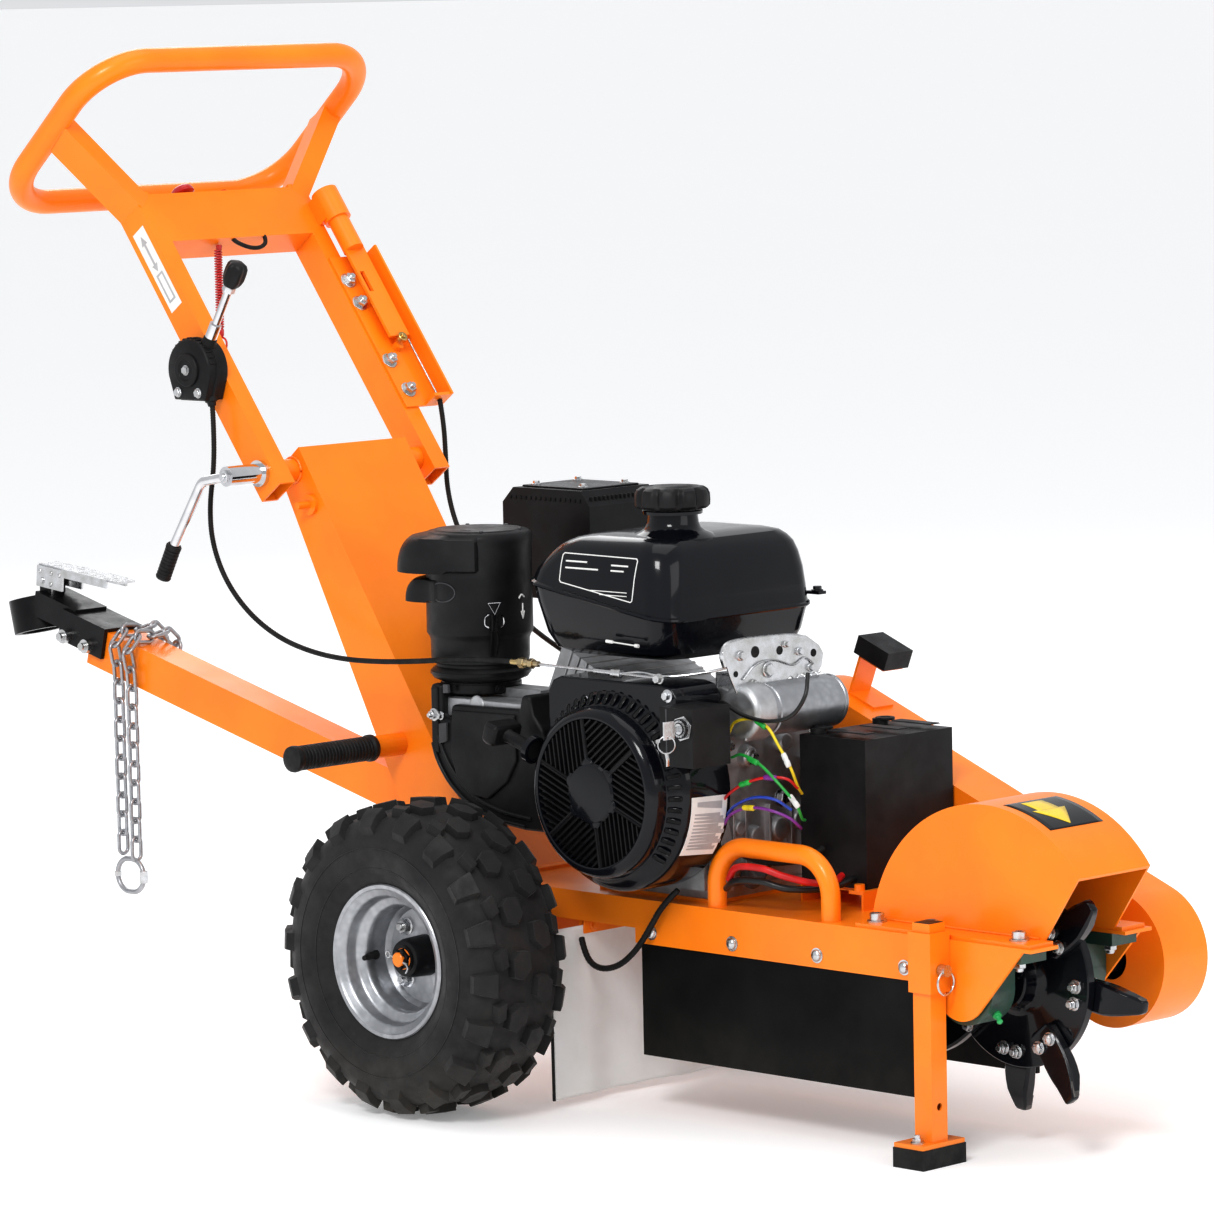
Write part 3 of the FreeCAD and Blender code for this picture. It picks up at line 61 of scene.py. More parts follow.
# name, place, what it is aimed at, size, watts
LIGHTS = (("key_light", (2.6, -4.4, 4.4), (0, 0, 0.4), (1.6, 1.6), 190),
          ("fill_light", (5.2, 0.6, 2.4), (0, 0, 0.4), (3.0, 2.4), 40),
          ("rim_light", (-3.8, 2.2, 3.4), (0, 0, 0.6), (2.4, 2.0), 45),
          ("top_light", (0.4, 0.2, 4.8), (0, 0, 0), (3.5, 3.0), 40))
SKY, SKY_STRENGTH, GAMMA = (0.97, 0.98, 1.0, 1), 0.80, 0.84
FLOOR_RADIUS, FLOOR_SEGMENTS, FLOOR_GLOW = 600.0, 64, 0.24


def place_camera():
    yaw, pitch, roll = (radians(v) for v in CAMERA_TURN)
    back = Vector((sin(yaw) * cos(pitch), -cos(yaw) * cos(pitch), sin(pitch)))
    level = Vector((cos(yaw), sin(yaw), 0))
    rise = back.cross(level)
    right = level * cos(roll) + rise * sin(roll)
    up = rise * cos(roll) - level * sin(roll)
    data = bpy.data.cameras.new("camera")
    data.sensor_width, data.lens, data.clip_end = SENSOR, LENS, FAR_CLIP
    data.shift_x, data.shift_y = SHIFT
    camera = bpy.data.objects.new("camera", data)
    turn = Matrix((right, up, back)).transposed()
    camera.matrix_world = Matrix.Translation(CAMERA_AT) @ turn.to_4x4()
    bpy.context.collection.objects.link(camera)
    bpy.context.scene.camera = camera


def area_light(name, at, aim, size, power):
    data = bpy.data.lights.new(name, "AREA")
    data.shape = "RECTANGLE"
    data.size, data.size_y = size
    data.energy = power
    lamp = bpy.data.objects.new(name, data)
    turn = (Vector(aim) - Vector(at)).to_track_quat("-Z", "Y")
    lamp.matrix_world = Matrix.Translation(at) @ turn.to_matrix().to_4x4()
    bpy.context.collection.objects.link(lamp)


def studio():
    place_camera()
    for light in LIGHTS:
        area_light(*light)
    world = bpy.data.worlds.new("studio")
    world.use_nodes = True
    background = world.node_tree.nodes["Background"].inputs
    background["Color"].default_value = SKY
    background["Strength"].default_value = SKY_STRENGTH
    scene = bpy.context.scene
    scene.world = world
    scene.view_settings.view_transform = "Standard"
    scene.view_settings.gamma = GAMMA
    # a wide pale floor
    angles = [2 * pi * k / FLOOR_SEGMENTS for k in range(FLOOR_SEGMENTS)]
    rim_points = [(FLOOR_RADIUS * cos(a), FLOOR_RADIUS * sin(a), 0) for a in angles]
    mesh = bpy.data.meshes.new("floor")
    mesh.from_pydata([(0, 0, 0)] + rim_points, [], [(0, 1 + k, 1 + (k + 1) % FLOOR_SEGMENTS)
        for k in range(FLOOR_SEGMENTS)])
    floor = bpy.data.objects.new("floor", mesh)
    bpy.context.collection.objects.link(floor)
    surface = Surface("floor_surface", (0.88, 0.88, 0.88), 0.8, specular=0.1)
    surface.vary(0.4, 0.002)
    surface.shader.inputs["Emission Color"].default_value = (1, 1, 1, 1)
    surface.shader.inputs["Emission Strength"].default_value = FLOOR_GLOW
    mesh.materials.append(surface.material)


# ------------------------------------------------------------------ materials
class Surface:
    """A Principled material whose colour, roughness and relief vary over the surface."""

    def __init__(self, name, colour, roughness, metallic=0.0, coat=0.0, coat_roughness=0.1, specular=0.5,
            sheen=0.0):
        self.material = bpy.data.materials.new(name)
        self.material.use_nodes = True
        self.nodes = self.material.node_tree.nodes
        self.links = self.material.node_tree.links
        self.shader = self.nodes["Principled BSDF"]
        self.colour = (*colour, 1)
        self.roughness = roughness
        self.material.diffuse_color = self.colour
        for socket, value in (("Base Color", self.colour), ("Roughness", roughness), ("Metallic", metallic),
                ("Coat Weight", coat), ("Coat Roughness", coat_roughness), ("Specular IOR Level", specular),
                ("Sheen Weight", sheen)):
            self.shader.inputs[socket].default_value = value
        self.place = self.nodes.new("ShaderNodeTexCoord").outputs["Object"]
        self.normal = None

    def node(self, kind, **values):
        """A node with some of its sockets set; a socket's name has _ for each space."""
        made = self.nodes.new("ShaderNode" + kind)
        for socket, value in values.items():
            made.inputs[socket.replace("_", " ")].default_value = value
        return made

    def noise(self, scale, detail=3.0, roughness=0.55, stretch=None):
        texture = self.node("TexNoise", Scale=scale, Detail=detail, Roughness=roughness)
        source = self.place
        if stretch:
            mapping = self.node("Mapping", Scale=stretch)
            self.links.new(source, mapping.inputs["Vector"])
            source = mapping.outputs["Vector"]
        self.links.new(source, texture.inputs["Vector"])
        return texture.outputs["Fac"]

    def ramp(self, value, low, high, first, second):
        ramp = self.node("MapRange", From_Min=low, From_Max=high, To_Min=first, To_Max=second)
        self.links.new(value, ramp.inputs["Value"])
        return ramp.outputs["Result"]

    def paint(self, factor, first, second):
        """Blends the base colour from first to second by a factor; first is a colour or an output."""
        mix = self.nodes.new("ShaderNodeMix")
        mix.data_type = "RGBA"
        self.links.new(factor, mix.inputs["Factor"])
        for socket, value in ((mix.inputs["A"], first), (mix.inputs["B"], second)):
            if isinstance(value, tuple):
                socket.default_value = value if len(value) == 4 else (*value, 1)
            else:
                self.links.new(value, socket)
        self.links.new(mix.outputs["Result"], self.shader.inputs["Base Color"])

    def so_far(self):
        """The base colour as it is now."""
        linked = self.shader.inputs["Base Color"].links
        return linked[0].from_socket if linked else self.colour

    def vary(self, scale, amount, tint=None):
        """Slow variation of colour and roughness."""
        tint = tint or tuple(c * (1 - 3.0 * amount) for c in self.colour[:3])
        self.paint(self.ramp(self.noise(scale, 4.0), 0.35, 0.7, 0.0, 1.0), self.so_far(), tint)
        rough = self.ramp(self.noise(scale * 2.3, 3.0), 0.3, 0.7, self.roughness * (1 - amount * 2),
            min(1.0, self.roughness * (1 + amount * 3)))
        self.links.new(rough, self.shader.inputs["Roughness"])

    def speckle(self, scale, colour, low, high, strength):
        """Small spots of another colour, such as chips or dust."""
        self.paint(self.ramp(self.noise(scale, 5.0, 0.7), low, high, 0.0, strength), self.so_far(), colour)

    def low_dust(self, colour, top, strength):
        """Dust that thickens towards the ground."""
        split = self.nodes.new("ShaderNodeSeparateXYZ")
        self.links.new(self.place, split.inputs["Vector"])
        height = self.ramp(split.outputs["Z"], 0.0, top, strength, 0.0)
        multiply = self.nodes.new("ShaderNodeMath")
        multiply.operation = "MULTIPLY"
        self.links.new(height, multiply.inputs[0])
        self.links.new(self.ramp(self.noise(28.0, 5.0, 0.65), 0.35, 0.65, 0.2, 1.0), multiply.inputs[1])
        self.paint(multiply.outputs["Value"], self.so_far(), colour)

    def bump(self, value, strength, distance):
        node = self.node("Bump", Strength=strength, Distance=distance)
        self.links.new(value, node.inputs["Height"])
        if self.normal:
            self.links.new(self.normal, node.inputs["Normal"])
        self.normal = node.outputs["Normal"]
        self.links.new(self.normal, self.shader.inputs["Normal"])

    def relief(self, scale, detail, strength, distance, grain=0.55, stretch=None):
        self.bump(self.noise(scale, detail, grain, stretch), strength, distance)

    def spangle(self, scale, light, dark):
        """The crystals of a zinc coating."""
        cells = self.node("TexVoronoi", Scale=scale)
        self.links.new(self.place, cells.inputs["Vector"])
        self.paint(self.ramp(cells.outputs["Distance"], 0.0, 0.9, 0.0, 1.0), light, dark)

    def weave(self, scale, strength, distance):
        """Over-and-under threads running along the sheet's width and height."""
        for direction in ("Y", "Z"):
            wave = self.node("TexWave", Scale=scale, Distortion=0.6, Detail=1.0)
            wave.bands_direction = direction
            self.links.new(self.place, wave.inputs["Vector"])
            self.bump(wave.outputs["Fac"], strength, distance)


# key: name, colour, roughness, shader settings, then what varies over the surface
SURFACES = {
    "orange": ("orange_powder_coat", (0.98, 0.262, 0.008), 0.36, dict(coat=0.28, coat_roughness=0.18, specular=0.3),
        ("vary", 9.0, 0.05, (0.91, 0.222, 0.006)), ("speckle", 160.0, (0.55, 0.10, 0.01), 0.74, 0.80, 0.6),
        ("low_dust", (0.42, 0.22, 0.10), 0.30, 0.22), ("relief", 420.0, 2.0, 0.10, 0.0006)),
    "weld": ("painted_weld", (0.93, 0.235, 0.007), 0.38, dict(coat=0.4, coat_roughness=0.2),
        ("vary", 60.0, 0.08), ("relief", 240.0, 3.0, 0.5, 0.0015)),
    "gloss_black": ("gloss_black_paint", (0.003, 0.0035, 0.006), 0.16, dict(coat=0.4, specular=0.15, coat_roughness=0.05),
        ("vary", 12.0, 0.10, (0.006, 0.0065, 0.009)), ("relief", 160.0, 2.0, 0.03, 0.0008),
        ("speckle", 300.0, (0.10, 0.10, 0.10), 0.75, 0.82, 0.25)),
    "satin_black": ("satin_black_paint", (0.004, 0.004, 0.005), 0.32, dict(coat=0.08, specular=0.2, coat_roughness=0.25),
        ("vary", 25.0, 0.10, (0.009, 0.009, 0.010)), ("relief", 500.0, 3.0, 0.12, 0.0006)),
    "black_plastic": ("moulded_black_plastic", (0.006, 0.006, 0.007), 0.42, dict(specular=0.25),
        ("vary", 18.0, 0.10, (0.017, 0.017, 0.018)), ("relief", 1900.0, 2.0, 0.25, 0.0004),
        ("speckle", 220.0, (0.12, 0.11, 0.10), 0.72, 0.85, 0.18)),
    # painted shade: a near-black that stands for the shade inside holes, slots, louvres and wells
    "painted_shade": ("deep_black", (0.004, 0.004, 0.004), 0.8, {}, ("vary", 30.0, 0.1)),
    "zinc": ("bright_zinc", (0.66, 0.67, 0.69), 0.26, dict(metallic=1.0),
        ("vary", 70.0, 0.16, (0.50, 0.50, 0.49)), ("relief", 700.0, 2.0, 0.08, 0.0004)),
    "yellow_zinc": ("yellow_zinc", (0.55, 0.42, 0.20), 0.30, dict(metallic=1.0),
        ("vary", 70.0, 0.12, (0.42, 0.36, 0.28)), ("relief", 700.0, 2.0, 0.08, 0.0004)),
    "chrome": ("chrome_plate", (0.74, 0.74, 0.75), 0.10, dict(metallic=1.0),
        ("vary", 40.0, 0.2, (0.60, 0.60, 0.62)), ("relief", 90.0, 4.0, 0.03, 0.0005, 0.55, (1, 1, 6))),
    "galvanised": ("galvanised_steel", (0.50, 0.51, 0.53), 0.36, dict(metallic=0.9),
        ("spangle", 120.0, (0.54, 0.55, 0.57), (0.36, 0.37, 0.39)), ("vary", 30.0, 0.08),
        ("relief", 260.0, 4.0, 0.14, 0.0008)),
    "cast_aluminium": ("cast_aluminium", (0.56, 0.57, 0.58), 0.44, dict(metallic=0.85),
        ("vary", 40.0, 0.10, (0.40, 0.40, 0.41)), ("relief", 900.0, 4.0, 0.35, 0.0007)),
    "black_iron": ("blackened_cast_iron", (0.008, 0.008, 0.009), 0.42, dict(coat=0.12, specular=0.3, coat_roughness=0.3),
        ("vary", 45.0, 0.15, (0.022, 0.021, 0.02)), ("relief", 420.0, 5.0, 0.4, 0.001, 0.7)),
    "worn_steel": ("worn_cutting_steel", (0.16, 0.155, 0.15), 0.35, dict(metallic=0.8),
        ("vary", 90.0, 0.15, (0.07, 0.06, 0.055)), ("relief", 500.0, 5.0, 0.35, 0.0008, 0.7)),
    "green": ("dark_green_enamel", (0.018, 0.075, 0.05), 0.38, dict(coat=0.3, coat_roughness=0.2),
        ("vary", 40.0, 0.12, (0.03, 0.05, 0.04)), ("relief", 420.0, 4.0, 0.3, 0.001, 0.6)),
    "bright_green": ("bright_green_cap", (0.03, 0.42, 0.12), 0.30, dict(coat=0.3), ("vary", 120.0, 0.08),
        ("relief", 700.0, 2.0, 0.05, 0.0003)),
    "tyre": ("tyre_rubber", (0.012, 0.012, 0.013), 0.62, dict(specular=0.3, sheen=0.08),
        ("vary", 22.0, 0.12, (0.022, 0.021, 0.020)),
        ("speckle", 90.0, (0.10, 0.085, 0.065), 0.66, 0.85, 0.35),
        ("low_dust", (0.12, 0.10, 0.075), 0.10, 0.35), ("relief", 700.0, 4.0, 0.22, 0.0008, 0.6)),
    "rubber": ("black_rubber", (0.008, 0.008, 0.008), 0.55, dict(specular=0.25),
        ("vary", 35.0, 0.12, (0.018, 0.018, 0.017)), ("relief", 800.0, 3.0, 0.2, 0.0006)),
    "flap": ("rubber_sheet", (0.004, 0.004, 0.0045), 0.44, dict(specular=0.12),
        ("vary", 7.0, 0.10, (0.013, 0.013, 0.012)), ("speckle", 60.0, (0.10, 0.085, 0.07), 0.66, 0.92, 0.22),
        ("low_dust", (0.08, 0.07, 0.055), 0.13, 0.22), ("relief", 1100.0, 2.0, 0.18, 0.0004)),
    "cloth": ("woven_white_cloth", (0.93, 0.94, 0.94), 0.85, dict(sheen=0.3),
        ("vary", 10.0, 0.04, (0.86, 0.86, 0.84)), ("low_dust", (0.70, 0.66, 0.58), 0.03, 0.35),
        ("weave", 260.0, 0.35, 0.0006)),
    "red": ("red_plastic", (0.52, 0.008, 0.010), 0.22, dict(coat=0.5, coat_roughness=0.08),
        ("vary", 60.0, 0.10, (0.36, 0.006, 0.008)), ("relief", 500.0, 2.0, 0.06, 0.0004)),
    "grip": ("grip_rubber", (0.008, 0.008, 0.009), 0.50, dict(specular=0.3),
        ("vary", 60.0, 0.12, (0.018, 0.018, 0.018)), ("relief", 1400.0, 3.0, 0.35, 0.0005)),
    "white_label": ("white_label", (0.82, 0.82, 0.80), 0.35, dict(coat=0.3), ("vary", 40.0, 0.03),
        ("relief", 300.0, 2.0, 0.04, 0.0003)),
    "grey_print": ("grey_print", (0.45, 0.45, 0.46), 0.35, {}, ("vary", 60.0, 0.05)),
    "yellow_print": ("yellow_print", (0.88, 0.62, 0.03), 0.30, dict(coat=0.3), ("vary", 60.0, 0.05),
        ("relief", 300.0, 2.0, 0.04, 0.0003)),
    "brass": ("brass", (0.60, 0.42, 0.16), 0.28, dict(metallic=1.0), ("vary", 80.0, 0.14, (0.42, 0.30, 0.13)),
        ("relief", 500.0, 2.0, 0.1, 0.0004)),
    "pale_grey_plastic": ("pale_grey_plastic", (0.085, 0.085, 0.09), 0.42, dict(specular=0.3),
        ("vary", 30.0, 0.1, (0.055, 0.055, 0.057)), ("relief", 1500.0, 2.0, 0.2, 0.0004)),
}
WIRES = {"red": (0.60, 0.012, 0.012), "yellow": (0.80, 0.62, 0.02), "green": (0.02, 0.38, 0.06),
         "blue": (0.02, 0.06, 0.42), "purple": (0.22, 0.03, 0.28), "white": (0.70, 0.70, 0.68),
         "black": (0.012, 0.012, 0.012)}
for hue, tone in WIRES.items():
    SURFACES["wire_" + hue] = ("wire_" + hue, tone, 0.36, {}, ("vary", 80.0, 0.10), ("relief", 600.0, 2.0, 0.08,
        0.0003))


def make_material(name, colour, roughness, settings, *steps):
    surface = Surface(name, colour, roughness, **settings)
    for step, *values in steps:
        getattr(surface, step)(*values)
    return surface.material


MAT = {key: make_material(*row) for key, row in SURFACES.items()}


# ------------------------------------------------------------------ mesh helpers
def P(x, y, z):
    """Millimetres forward of the axle, across from the mid-plane and above the ground, in metres."""
    return Vector((x / 1000 + AXLE, y / 1000, z / 1000))


def add_object(name, verts, faces, material, body):
    """A smooth mesh with outward faces; it rides on its body, or on nothing yet where body is None."""
    mesh = bpy.data.meshes.new(name)
    mesh.from_pydata([tuple(v) for v in verts], [], faces)
    mesh.validate()
    made = bmesh.new()
    made.from_mesh(mesh)
    bmesh.ops.recalc_face_normals(made, faces=made.faces)
    for face in made.faces:
        face.smooth = True
    made.to_mesh(mesh)
    made.free()
    obj = bpy.data.objects.new(name, mesh)
    bpy.context.collection.objects.link(obj)
    mesh.materials.append(MAT[material])
    if body:
        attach(obj, body)
    return obj


def rounded(obj, width, segments=3, angle=35.0):
    """Rounds the edges sharper than an angle; the width is in mm."""
    bevel = obj.modifiers.new("rounded", "BEVEL")
    bevel.width = width / 1000
    bevel.segments = segments
    bevel.limit_method = "ANGLE"
    bevel.angle_limit = radians(angle)
    bevel.harden_normals = True


def thicken(obj, thickness):
    solid = obj.modifiers.new("thickness", "SOLIDIFY")
    solid.thickness = thickness / 1000
    solid.offset = 0.0


def sharpen(mesh, degrees):
    """Keeps the edges between faces that meet at more than an angle sharp."""
    made = bmesh.new()
    made.from_mesh(mesh)
    for edge in made.edges:
        edge.smooth = not (len(edge.link_faces) == 2 and edge.calc_face_angle(0.0) > radians(degrees))
    made.to_mesh(mesh)
    made.free()


def frame_of(axis):
    """Two unit vectors square to an axis."""
    axis = Vector(axis).normalized()
    side = axis.cross(UP if abs(axis.z) < 0.9 else AHEAD).normalized()
    return side, axis.cross(side).normalized()


def circle(centre, side, rise, radius, segments, turn=0.0, flat=1.0):
    """A ring of points; the radius is in mm, and flat presses the ring along rise."""
    angles = [2 * pi * i / segments + turn for i in range(segments)]
    return [centre + (side * cos(a) + rise * sin(a) * flat) * (radius / 1000) for a in angles]


def steps_round(count):
    """Evenly spaced angles, once round."""
    return [2 * pi * k / count for k in range(count)]


def spoke(angle):
    """A unit vector across the axle, at an angle up from straight ahead."""
    return Vector((cos(angle), 0, sin(angle)))


class Shape:
    """Gathers simple solids into one mesh."""

    def __init__(self):
        self.verts, self.faces = [], []

    def add(self, verts, faces):
        start = len(self.verts)
        self.verts += [Vector(v) for v in verts]
        self.faces += [tuple(start + i for i in face) for face in faces]

    def rings(self, rings, loop=False):
        """Joins equal rings of points into a skin, with its ends closed unless it is a loop."""
        count, total = len(rings[0]), len(rings)
        faces = []
        for k in range(total if loop else total - 1):
            a, b = k * count, ((k + 1) % total) * count
            for i in range(count):
                j = (i + 1) % count
                faces.append((a + i, a + j, b + j, b + i))
        if not loop:
            faces.append(tuple(range(count))[::-1])
            faces.append(tuple((total - 1) * count + i for i in range(count)))
        self.add([v for ring in rings for v in ring], faces)

    def lathe(self, at, axis, profile, segments=32, loop=False):
        """Turns (distance along, radius) points about an axis; loop joins the last to the first."""
        at, axis = Vector(at), Vector(axis).normalized()
        side, rise = frame_of(axis)
        self.rings([circle(at + axis * (along / 1000), side, rise, max(radius, 0.02), segments) for along,
            radius in profile], loop=loop)

    def box(self, low, high, taper=0.0, place=None):
        """A box between two corners in mm; taper draws its top in by that much on every side."""
        (x0, y0, z0), (x1, y1, z1) = low, high
        corners = []
        for z, t in ((z0, 0), (z1, taper)):
            corners += [(x0 + t, y0 + t, z), (x1 - t, y0 + t, z), (x1 - t, y1 - t, z), (x0 + t, y1 - t, z)]
        self.add([(place or P)(*corner) for corner in corners], [(0, 3, 2, 1), (4, 5, 6, 7), (0, 1, 5, 4),
            (1, 2, 6, 5), (2, 3, 7, 6), (3, 0, 4, 7)])

    def prism(self, at, axis, sides, radius, length, turn=0.0, chamfer=0.0):
        """A regular prism, such as a hexagon head, with its end edge chamfered."""
        at, axis = Vector(at), Vector(axis).normalized()
        side, rise = frame_of(axis)
        stops = [(0.0, radius), (length, radius - chamfer)]
        if chamfer:
            stops.insert(1, (length - chamfer, radius))
        self.rings([circle(at + axis * (along / 1000), side, rise, r, sides, turn) for along, r in stops])

    def bolt(self, at, axis, radius=7.5, height=6.0, washer=9.5, stud=0.0, turn=0.3):
        """A flanged hexagon head, or a nut when it has a stud end."""
        at, axis = Vector(at), Vector(axis).normalized()
        self.lathe(at, axis, [(0, 0), (0, washer), (1.3, washer), (1.6, washer - 0.5), (1.6, 0)], 24)
        self.prism(at + axis * 0.0015, axis, 6, radius, height, turn, chamfer=radius * 0.12)
        if stud:
            self.lathe(at + axis * 0.001, axis, [(0, stud), (height + 3.5, stud), (height + 4.5, stud - 0.8),
                (height + 4.5, 0)], 16)

    def bolts(self, axis, *rows):
        """Bolts that point the same way: each row is a place in mm, then the bolt's sizes."""
        for x, y, z, *sizes in rows:
            self.bolt(P(x, y, z), axis, *sizes)

    def outline(self, points, low, high, plane="XZ"):
        """A flat outline in mm carried between two values of the third axis."""
        place = {"XZ": lambda a, b, c: P(a, c, b), "XY": P, "YZ": lambda a, b, c: P(c, a, b)}[plane]
        self.rings([[place(a, b, level) for a, b in points] for level in (low, high)])

    def sweep(self, points, radius, segments=12, closed=False, flat=1.0):
        """A round bar along a list of points."""
        points = [Vector(p) for p in points]
        count = len(points)
        rings, side = [], None
        for i, here in enumerate(points):
            before = points[(i - 1) % count] if closed or i else here
            after = points[(i + 1) % count] if closed or i < count - 1 else here
            side, rise = carried(after - before, side)
            rings.append(circle(here, side, rise, radius, segments, flat=flat))
        self.rings(rings, loop=closed)


def carried(ahead, side):
    """The two directions square to a path, turned as little as possible from the last side."""
    ahead = ahead.normalized()
    side = frame_of(ahead)[0] if side is None else side
    side = (side - ahead * side.dot(ahead)).normalized()
    return side, ahead.cross(side)


# the record's slot that each material takes, unless a piece says otherwise
SLOTS = {"black_iron": "green_iron", "black_plastic": "black_plastic", "brass": "zinc_steel",
    "bright_green": "green_iron", "cast_aluminium": "cast_aluminium", "chrome": "zinc_steel",
    "painted_shade": "black_paint", "galvanised": "galvanised", "gloss_black": "black_paint",
    "grey_print": "black_paint", "grip": "black_rubber", "orange": "orange_paint",
    "pale_grey_plastic": "black_plastic", "red": "red_plastic", "rubber": "black_rubber",
    "satin_black": "black_plastic", "tyre": "tyre_rubber", "weld": "orange_paint", "white_label": "black_paint",
    "worn_steel": "zinc_steel", "yellow_zinc": "zinc_steel", "zinc": "zinc_steel"}


def put(shape, name, material, body="chassis", slot=None, bevel=0.0, angle=35.0, segments=2, replaces=()):
    """Makes a shape into a piece: its edges rounded by bevel mm, and sharp above angle degrees."""
    obj = add_object(name, shape.verts, shape.faces, material, body)
    sharpen(obj.data, angle)
    if bevel:
        rounded(obj, bevel, segments)
    slot or SLOTS[material]
    if replaces:
        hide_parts(*replaces)
    return obj


def smooth_path(points, per_span=8):
    """Points on a Catmull-Rom curve through the given ones."""
    points = [Vector(p) for p in points]
    padded = [points[0] * 2 - points[1]] + points + [points[-1] * 2 - points[-2]]
    path = []
    for a, b, c, d in zip(padded, padded[1:], padded[2:], padded[3:]):
        for k in range(per_span):
            t = k / per_span
            path.append(0.5 * (2 * b + (c - a) * t + (2 * a - 5 * b + 4 * c - d) * t * t + (3 * b - a - 3 * c +
                d) * t ** 3))
    path.append(points[-1])
    return path


def finish_node(name, material, bevel, segments, angle):
    """A CAD part keeps its shape and gets its material and softened edges."""
    obj = NODES[name]
    obj.data.materials.clear()
    obj.data.materials.append(MAT[material])
    if bevel:
        rounded(obj, bevel, segments, angle)


# ------------------------------------------------------------------ wheels
WHEEL_Y, WHEEL_Z, TYRE_RADIUS = 252.5, 181.0, 181.0


# half of the tyre's section, and the inside of the whole: (across from its middle, radius)
TYRE_HALF = [(0, 171.5), (22, 171.0), (42, 168.5), (56, 162.5), (64.5, 153), (69.5, 141), (71.5, 127), (70, 113),
             (65.5, 102), (60.5, 95.5), (58.5, 91.5), (56.5, 88)]
TYRE_INSIDE = [(52, 90), (60, 104), (66, 126), (61, 146), (45, 162), (0, 166), (-45, 162), (-61, 146), (-66, 126),
               (-60, 104), (-52, 90)]
TREAD_ROWS = 18


def tyre(side, name):
    """An off-road tyre: a smooth carcass with raised blocks on the crown and lugs on the shoulders."""
    centre = P(0, side * WHEEL_Y, WHEEL_Z)
    profile = [(-a, r) for a, r in TYRE_HALF[::-1]] + TYRE_HALF[1:]
    shape = Shape()
    shape.lathe(centre, ACROSS, profile + TYRE_INSIDE, 96, loop=True)

    def at(across, radius, angle):
        return centre + (spoke(angle) * radius + ACROSS * across) / 1000

    def block(corners, base, top, draft):
        """A raised block: corners are (across, degrees); it leans in by the draft."""
        middle = [sum(c[i] for c in corners) / len(corners) for i in (0, 1)]
        low, high = [], []
        for across, degrees in corners:
            low.append(at(across, base(across), radians(degrees)))
            a = middle[0] + (across - middle[0]) * (1 - draft)
            d = middle[1] + (degrees - middle[1]) * (1 - draft)
            high.append(at(a, top(a), radians(d)))
        shape.rings([low, high])

    def crown(across):
        return 171.0 - 0.00155 * across * across - 1.5

    def tread(across):
        return min(TYRE_RADIUS, 180.9 - 0.0020 * across * across)

    pitch = 360.0 / TREAD_ROWS
    for k in range(TREAD_ROWS):
        for mirror in (-1, 1):
            shift = k * pitch + (pitch / 2 if mirror > 0 else 0)
            # the large block beside the middle, cut like an arrow
            block([(mirror * 3, shift + 1), (mirror * 16, shift - 3), (mirror * 31, shift - 1.5),
                (mirror * 32, shift + 5.5), (mirror * 20, shift + 8.5), (mirror * 5, shift + 8)], crown, tread,
                0.10)
            # a smaller block that bridges to the shoulder
            block([(mirror * 36, shift + 3), (mirror * 47, shift + 1.5), (mirror * 50, shift + 8.5),
                (mirror * 38, shift + 10.5)], crown, tread, 0.12)
            # the shoulder lug, which wraps down the side
            wrap = [(mirror * 52, 170.0, 176.0), (mirror * 63, 160.0, 167.5), (mirror * 71.2, 146.5, 155.5)]
            rings = []
            for index, (across, base_radius, top_radius) in enumerate(wrap):
                spread = 5.4 - 0.5 * index
                mid = shift - 3.5
                foot, head = (across * 0.93, base_radius - 4), (across, top_radius)
                rings.append([at(*spot, radians(mid + turn)) for spot, turn in ((foot, -spread),
                    (head, 0.9 - spread), (head, spread - 0.9), (foot, spread))])
            shape.rings(rings)
    # two raised rings on each side wall
    for mirror in (-1, 1):
        for across, radius in ((70.6, 131.5), (67.6, 108.5)):
            shape.sweep([at(mirror * across, radius, a) for a in steps_round(96)], 1.1, 6, closed=True)
    obj = put(shape, "tyre_" + name + "_tread", "tyre", "wheel_" + name, angle=30, replaces=["tyre_" + name])
    rounded(obj, 0.9, 1, 40)


